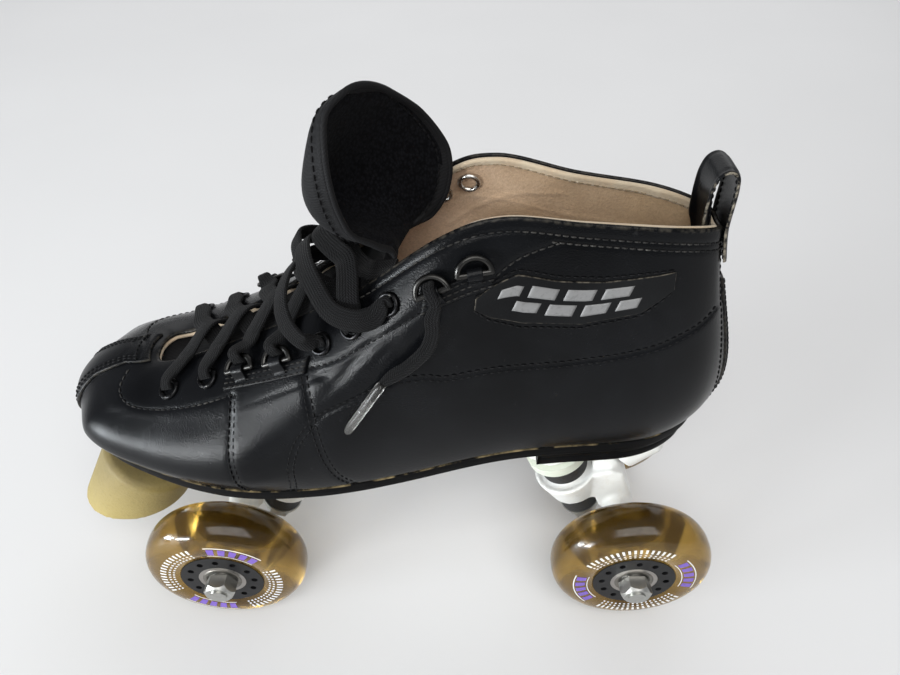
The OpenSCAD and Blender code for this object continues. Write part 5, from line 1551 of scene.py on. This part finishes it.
def add_lace_end(side, word):
    """A free end of the lace, over the ankle ring's bar and down the wall, with its clear sleeve."""
    _, up, n0 = hole_axes(ANKLE_RING, side)
    points = [by_hole(ANKLE_RING, side, *q) for q in END_START] + [end_point(q, side) for q in LACE_END]
    ups = [up, up, n0 + up, n0, n0] + [face_normal(side_s(q[0], side), q[1]) for q in LACE_END]
    widths = [LACE_NECK] * len(END_START) + [LACE_W - 1.2] * (len(LACE_END) - 1) + [2 * AGLET_R - 0.8]
    verts, faces, uv, path = band_mesh(points, ups, widths, LACE_T * 0.9, 96)
    cord = make("lace_tail_" + word, verts, faces, BRAID, uv=uv)
    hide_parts("lace_end_" + word)
    # The sleeve: a thin clear tube that narrows at its tip, round a narrow end of braid
    start = np.asarray(points[-1])
    way = unit(end_point(AGLET_TIP, side) - start)
    t = np.linspace(0, 1, 22)
    line = start + way * (0.6 + AGLET_L * t)[:, None]
    size = AGLET_R * np.interp(t, *SLEEVE_SHAPE)
    sleeve = make("lace_sleeve_" + word, *tube_mesh(line, size, 20), SLEEVE)
    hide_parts("aglet_" + word)
    core = start + way * (0.9 + 0.3 * AGLET_L * t)[:, None]
    core_r = AGLET_R * 0.6 * np.interp(t, *CORE_SHAPE)
    inner = make("lace_core_" + word, *tube_mesh(core, core_r, 12), BRAID)


add_laces()
add_lace_end(1, "lateral")
add_lace_end(-1, "medial")


# Heel loop: a leather strap that straddles the collar's back

# X, Z from the plate's top and how far its edges bend forward with the round of the heel
HEEL_LOOP = np.array([
    [-107.1, 94, 2.4], [-106.1, 98, 2.75], [-105.25, 102, 3.2], [-104.5, 106.5, 4.2],
    [-103.4, 112, 3.6], [-102, 118, 2.4], [-101.3, 124, 1.4], [-102.2, 128.8, 0.7],
    [-105, 130.6, 0.4], [-108.2, 128.8, 0.6], [-109.6, 124, 1], [-110.1, 118, 1.2],
    [-110.5, 112, 1.6], [-110.9, 106.5, 1.65], [-112.05, 100, 1.4], [-113.5, 94, 1.4],
], float)
STRAP_W = 16.0
STRAP_T = 1.6
STRAP_SEAM = 0.78
LOOP_ROUND = 3.2


def strap_point(t, u, d):
    """A point of the strap: t along it, u from edge to edge, d out of its middle."""
    last = len(HEEL_LOOP) - 1
    p = spline(HEEL_LOOP, t)
    way = spline(HEEL_LOOP, np.minimum(t + 0.1, last)) - spline(HEEL_LOOP, np.maximum(t - 0.1, 0))
    way = unit(way[..., :2])
    x = p[..., 0] + d * way[..., 1] + p[..., 2] * np.abs(u) ** LOOP_ROUND
    return np.stack([x, u * STRAP_W / 2, p[..., 1] - d * way[..., 0] + DECK_Z], -1)


def add_heel_loop():
    rings = 150
    sides = 32
    last = len(HEEL_LOOP) - 1
    a = 2 * np.pi * (np.arange(sides) + 0.5) / sides
    u = power(np.cos(a), 0.3)
    d = power(np.sin(a), 0.5) * STRAP_T / 2
    # A sunk line beside each edge, where the strap is sewn
    d -= np.sign(d) * 0.22 * bell(np.abs(u) - STRAP_SEAM, 0.07)
    t, u = np.meshgrid(np.linspace(0, last, rings), u, indexing="ij")
    verts = strap_point(t, u, d).reshape(-1, 3)
    marks = {"wear": 0.9 * smooth((np.abs(u) - 0.955) / 0.04)}
    piece = make("heel_strap", verts, closed_faces(rings, sides), STRIP_LEATHER, marks=marks)
    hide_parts("heel_loop")
    sewn = Stitches()
    t = np.linspace(1.5, last - 0.3, 120)
    for edge in (-STRAP_SEAM, STRAP_SEAM):
        u = np.full_like(t, edge)
        out = strap_point(t, u, -STRAP_T / 2)
        normals = out - strap_point(t, u, 0.0)
        sewn.line(out, normals, radius=0.28, lift=-0.05, **STRIP_STITCH)
    sewn.piece("heel_strap_stitching", THREAD)


add_heel_loop()


# Wheels

WHEELS = {"front_left": (1, 1), "front_right": (1, -1), "rear_left": (-1, 1), "rear_right": (-1, -1)}
AXLE_Z = WHEEL_R
# Section of a bearing's outer shield: radius and height from the wheel's middle
SHIELD = [(6.4, 11.3), (9.1, 11.3), (9.1, 11.56), (6.4, 11.56)]
# Print between two radii: three rows of ticks, bars, and thin lines round the bars
TICKS = [(25.6, 28.4), (23.6, 24.6), (21.8, 22.7)]
BAR = (23.0, 27.6)
THIN_LINES = [(28.2, 28.7), (21.9, 22.3)]
# Runs of print in degrees: first mark, step, count and the sweep of one mark
TICK_RUN = (-44, 5.5, 17, 2.4)
LINE_RUN = (62, 0, 1, 55)
BAR_RUN = (64, 11, 5, 7)
PRINT_TURN = {1: 0.4, -1: 1.3}
PRINT_LIFT = 0.12


def wheel_point(end, side, r, a, z):
    """A point at radius r, angle a and z out of the skate from a wheel's middle."""
    x = end * WHEEL_BASE / 2 + r * np.cos(a)
    return np.stack(np.broadcast_arrays(x, side * (TRACK / 2 + np.asarray(z)), AXLE_Z + r * np.sin(a)), -1)


def lathe(end, side, profile, segments=144):
    profile = np.asarray(profile, float)
    a = np.linspace(0, 2 * np.pi, segments, endpoint=False)
    verts = wheel_point(end, side, profile[None, :, 0], a[:, None], profile[None, :, 1])
    faces = grid_faces(segments, len(profile), wrap_m=True, wrap_n=True)
    return verts.reshape(-1, 3), faces[:, ::-side]


def tyre_profile():
    flat = WHEEL_R - TREAD_DEPTH
    a = np.linspace(-np.pi / 2, np.pi / 2, 41)
    r = flat + TREAD_DEPTH * np.cos(a).clip(0) ** (2 / TREAD_POWER)
    z = HALF_W * power(np.sin(a), 2 / TREAD_POWER)
    inner = [(HUB_R + 0.05, -HALF_W + 0.9), (HUB_R + 0.4, -HALF_W + 0.5)]
    outer = [(HUB_R + 0.4, HALF_W - 0.5), (HUB_R + 0.05, HALF_W - 0.9)]
    return np.vstack([inner, np.stack([r, z], 1), outer])


def face_z(r):
    """How far a wheel's side face stands out at radius r."""
    flat = WHEEL_R - TREAD_DEPTH
    if r <= flat:
        return HALF_W - 0.5 + 0.5 * (r - HUB_R) / (flat - HUB_R)
    c = ((r - flat) / TREAD_DEPTH) ** TREAD_POWER
    return HALF_W * (1 - c) ** (1 / TREAD_POWER)


def arc_mesh(end, side, radii, start, sweep):
    """A printed patch on a wheel's outer face, between two radii, from an angle on; sweep in degrees."""
    steps = max(2, int(sweep / 4) + 1)
    a = start + np.radians(np.linspace(0, sweep, steps))
    r = np.linspace(*radii, 4)
    z = np.array([face_z(each) + PRINT_LIFT for each in r])
    verts = wheel_point(end, side, r[None], a[:, None], z[None])
    return verts.reshape(-1, 3), grid_faces(steps, 4)[:, ::side].tolist()


def print_run(end, side, turn, run, bands):
    """Marks at even steps, in each of the bands between two radii."""
    first, step, count, sweep = run
    starts = [turn + math.radians(first + step * k) for k in range(count)]
    return [arc_mesh(end, side, radii, at, sweep) for at in starts for radii in bands]


def add_wheel(word, end, side):
    body = "wheel_" + word
    tyre = make("tyre_rubber_" + word, *lathe(end, side, tyre_profile()), URETHANE, body)
    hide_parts("tyre_" + word)
    white = []
    purple = []
    # Two runs of pale ticks and dots, and two purple bars between them
    for turn in (PRINT_TURN[end], PRINT_TURN[end] + math.pi):
        white += print_run(end, side, turn, TICK_RUN, TICKS)
        white += print_run(end, side, turn, LINE_RUN, THIN_LINES)
        purple += print_run(end, side, turn, BAR_RUN, [BAR])
    shield = make("bearing_shield_" + word, *lathe(end, side, SHIELD, 72), SHIELD_STEEL, body)
    for name, parts, look in (("ticks", white, WHITE_INK), ("bars", purple, PURPLE_INK)):
        print_piece = make("wheel_" + name + "_" + word, *joined(parts), look, body)


for word, (end, side) in WHEELS.items():
    add_wheel(word, end, side)


# CAD nodes that keep their shape, with softened edges where the real ones are cast or moulded

def finish_node(name, look):
    node = nodes[name]
    node.data.materials.clear()
    node.data.materials.append(look)


def soften(name, voxel, turns):
    """Rounds a casting's edges over its CAD shape."""
    node = nodes[name]
    remesh = node.modifiers.new("cast_skin", "REMESH")
    remesh.mode = "VOXEL"
    remesh.voxel_size = voxel * MM
    remesh.use_smooth_shade = True
    ease = node.modifiers.new("cast_edges", "SMOOTH")
    ease.factor = 0.5
    ease.iterations = turns


FINISHES = [
    (DARK_STEEL, ["forefoot_rings", "ankle_rings", "top_ring_lateral", "top_ring_medial"]),
    (EYELET_METAL, ["eyelets"]),
    (PAINT, ["plate", "front_hanger", "rear_hanger"]),
    (ZINC, ["plate_bolts", "tee_nuts", "kingpins", "kingpin_nuts", "lower_cup_washers"]),
    (ZINC, ["front_axle", "axle_washers_front", "axle_nuts_front", "toe_stop_stem", "toe_stop_nut"]),
    (ZINC, ["rear_axle", "axle_washers_rear", "axle_nuts_rear"]),
    (CUP_PLASTIC, ["upper_cup_washers"]),
    (BLACK_PLASTIC, ["pivot_cups"]),
    (BLACK_RUBBER, ["upper_cushions", "lower_cushions"]),
    (CREAM_RUBBER, ["toe_stop"]),
    (STEEL, ["inner_races_front", "inner_races_rear", *("bearings_" + word for word in WHEELS)]),
    (HUB_PLASTIC, ["hub_" + word for word in WHEELS]),
]
for look, names in FINISHES:
    for name in names:
        finish_node(name, look)
SOFTENED = {"front_hanger": (0.8, 6), "rear_hanger": (0.8, 6), "plate": (1.0, 4), "toe_stop": (0.9, 8)}
for name, amounts in SOFTENED.items():
    soften(name, *amounts)
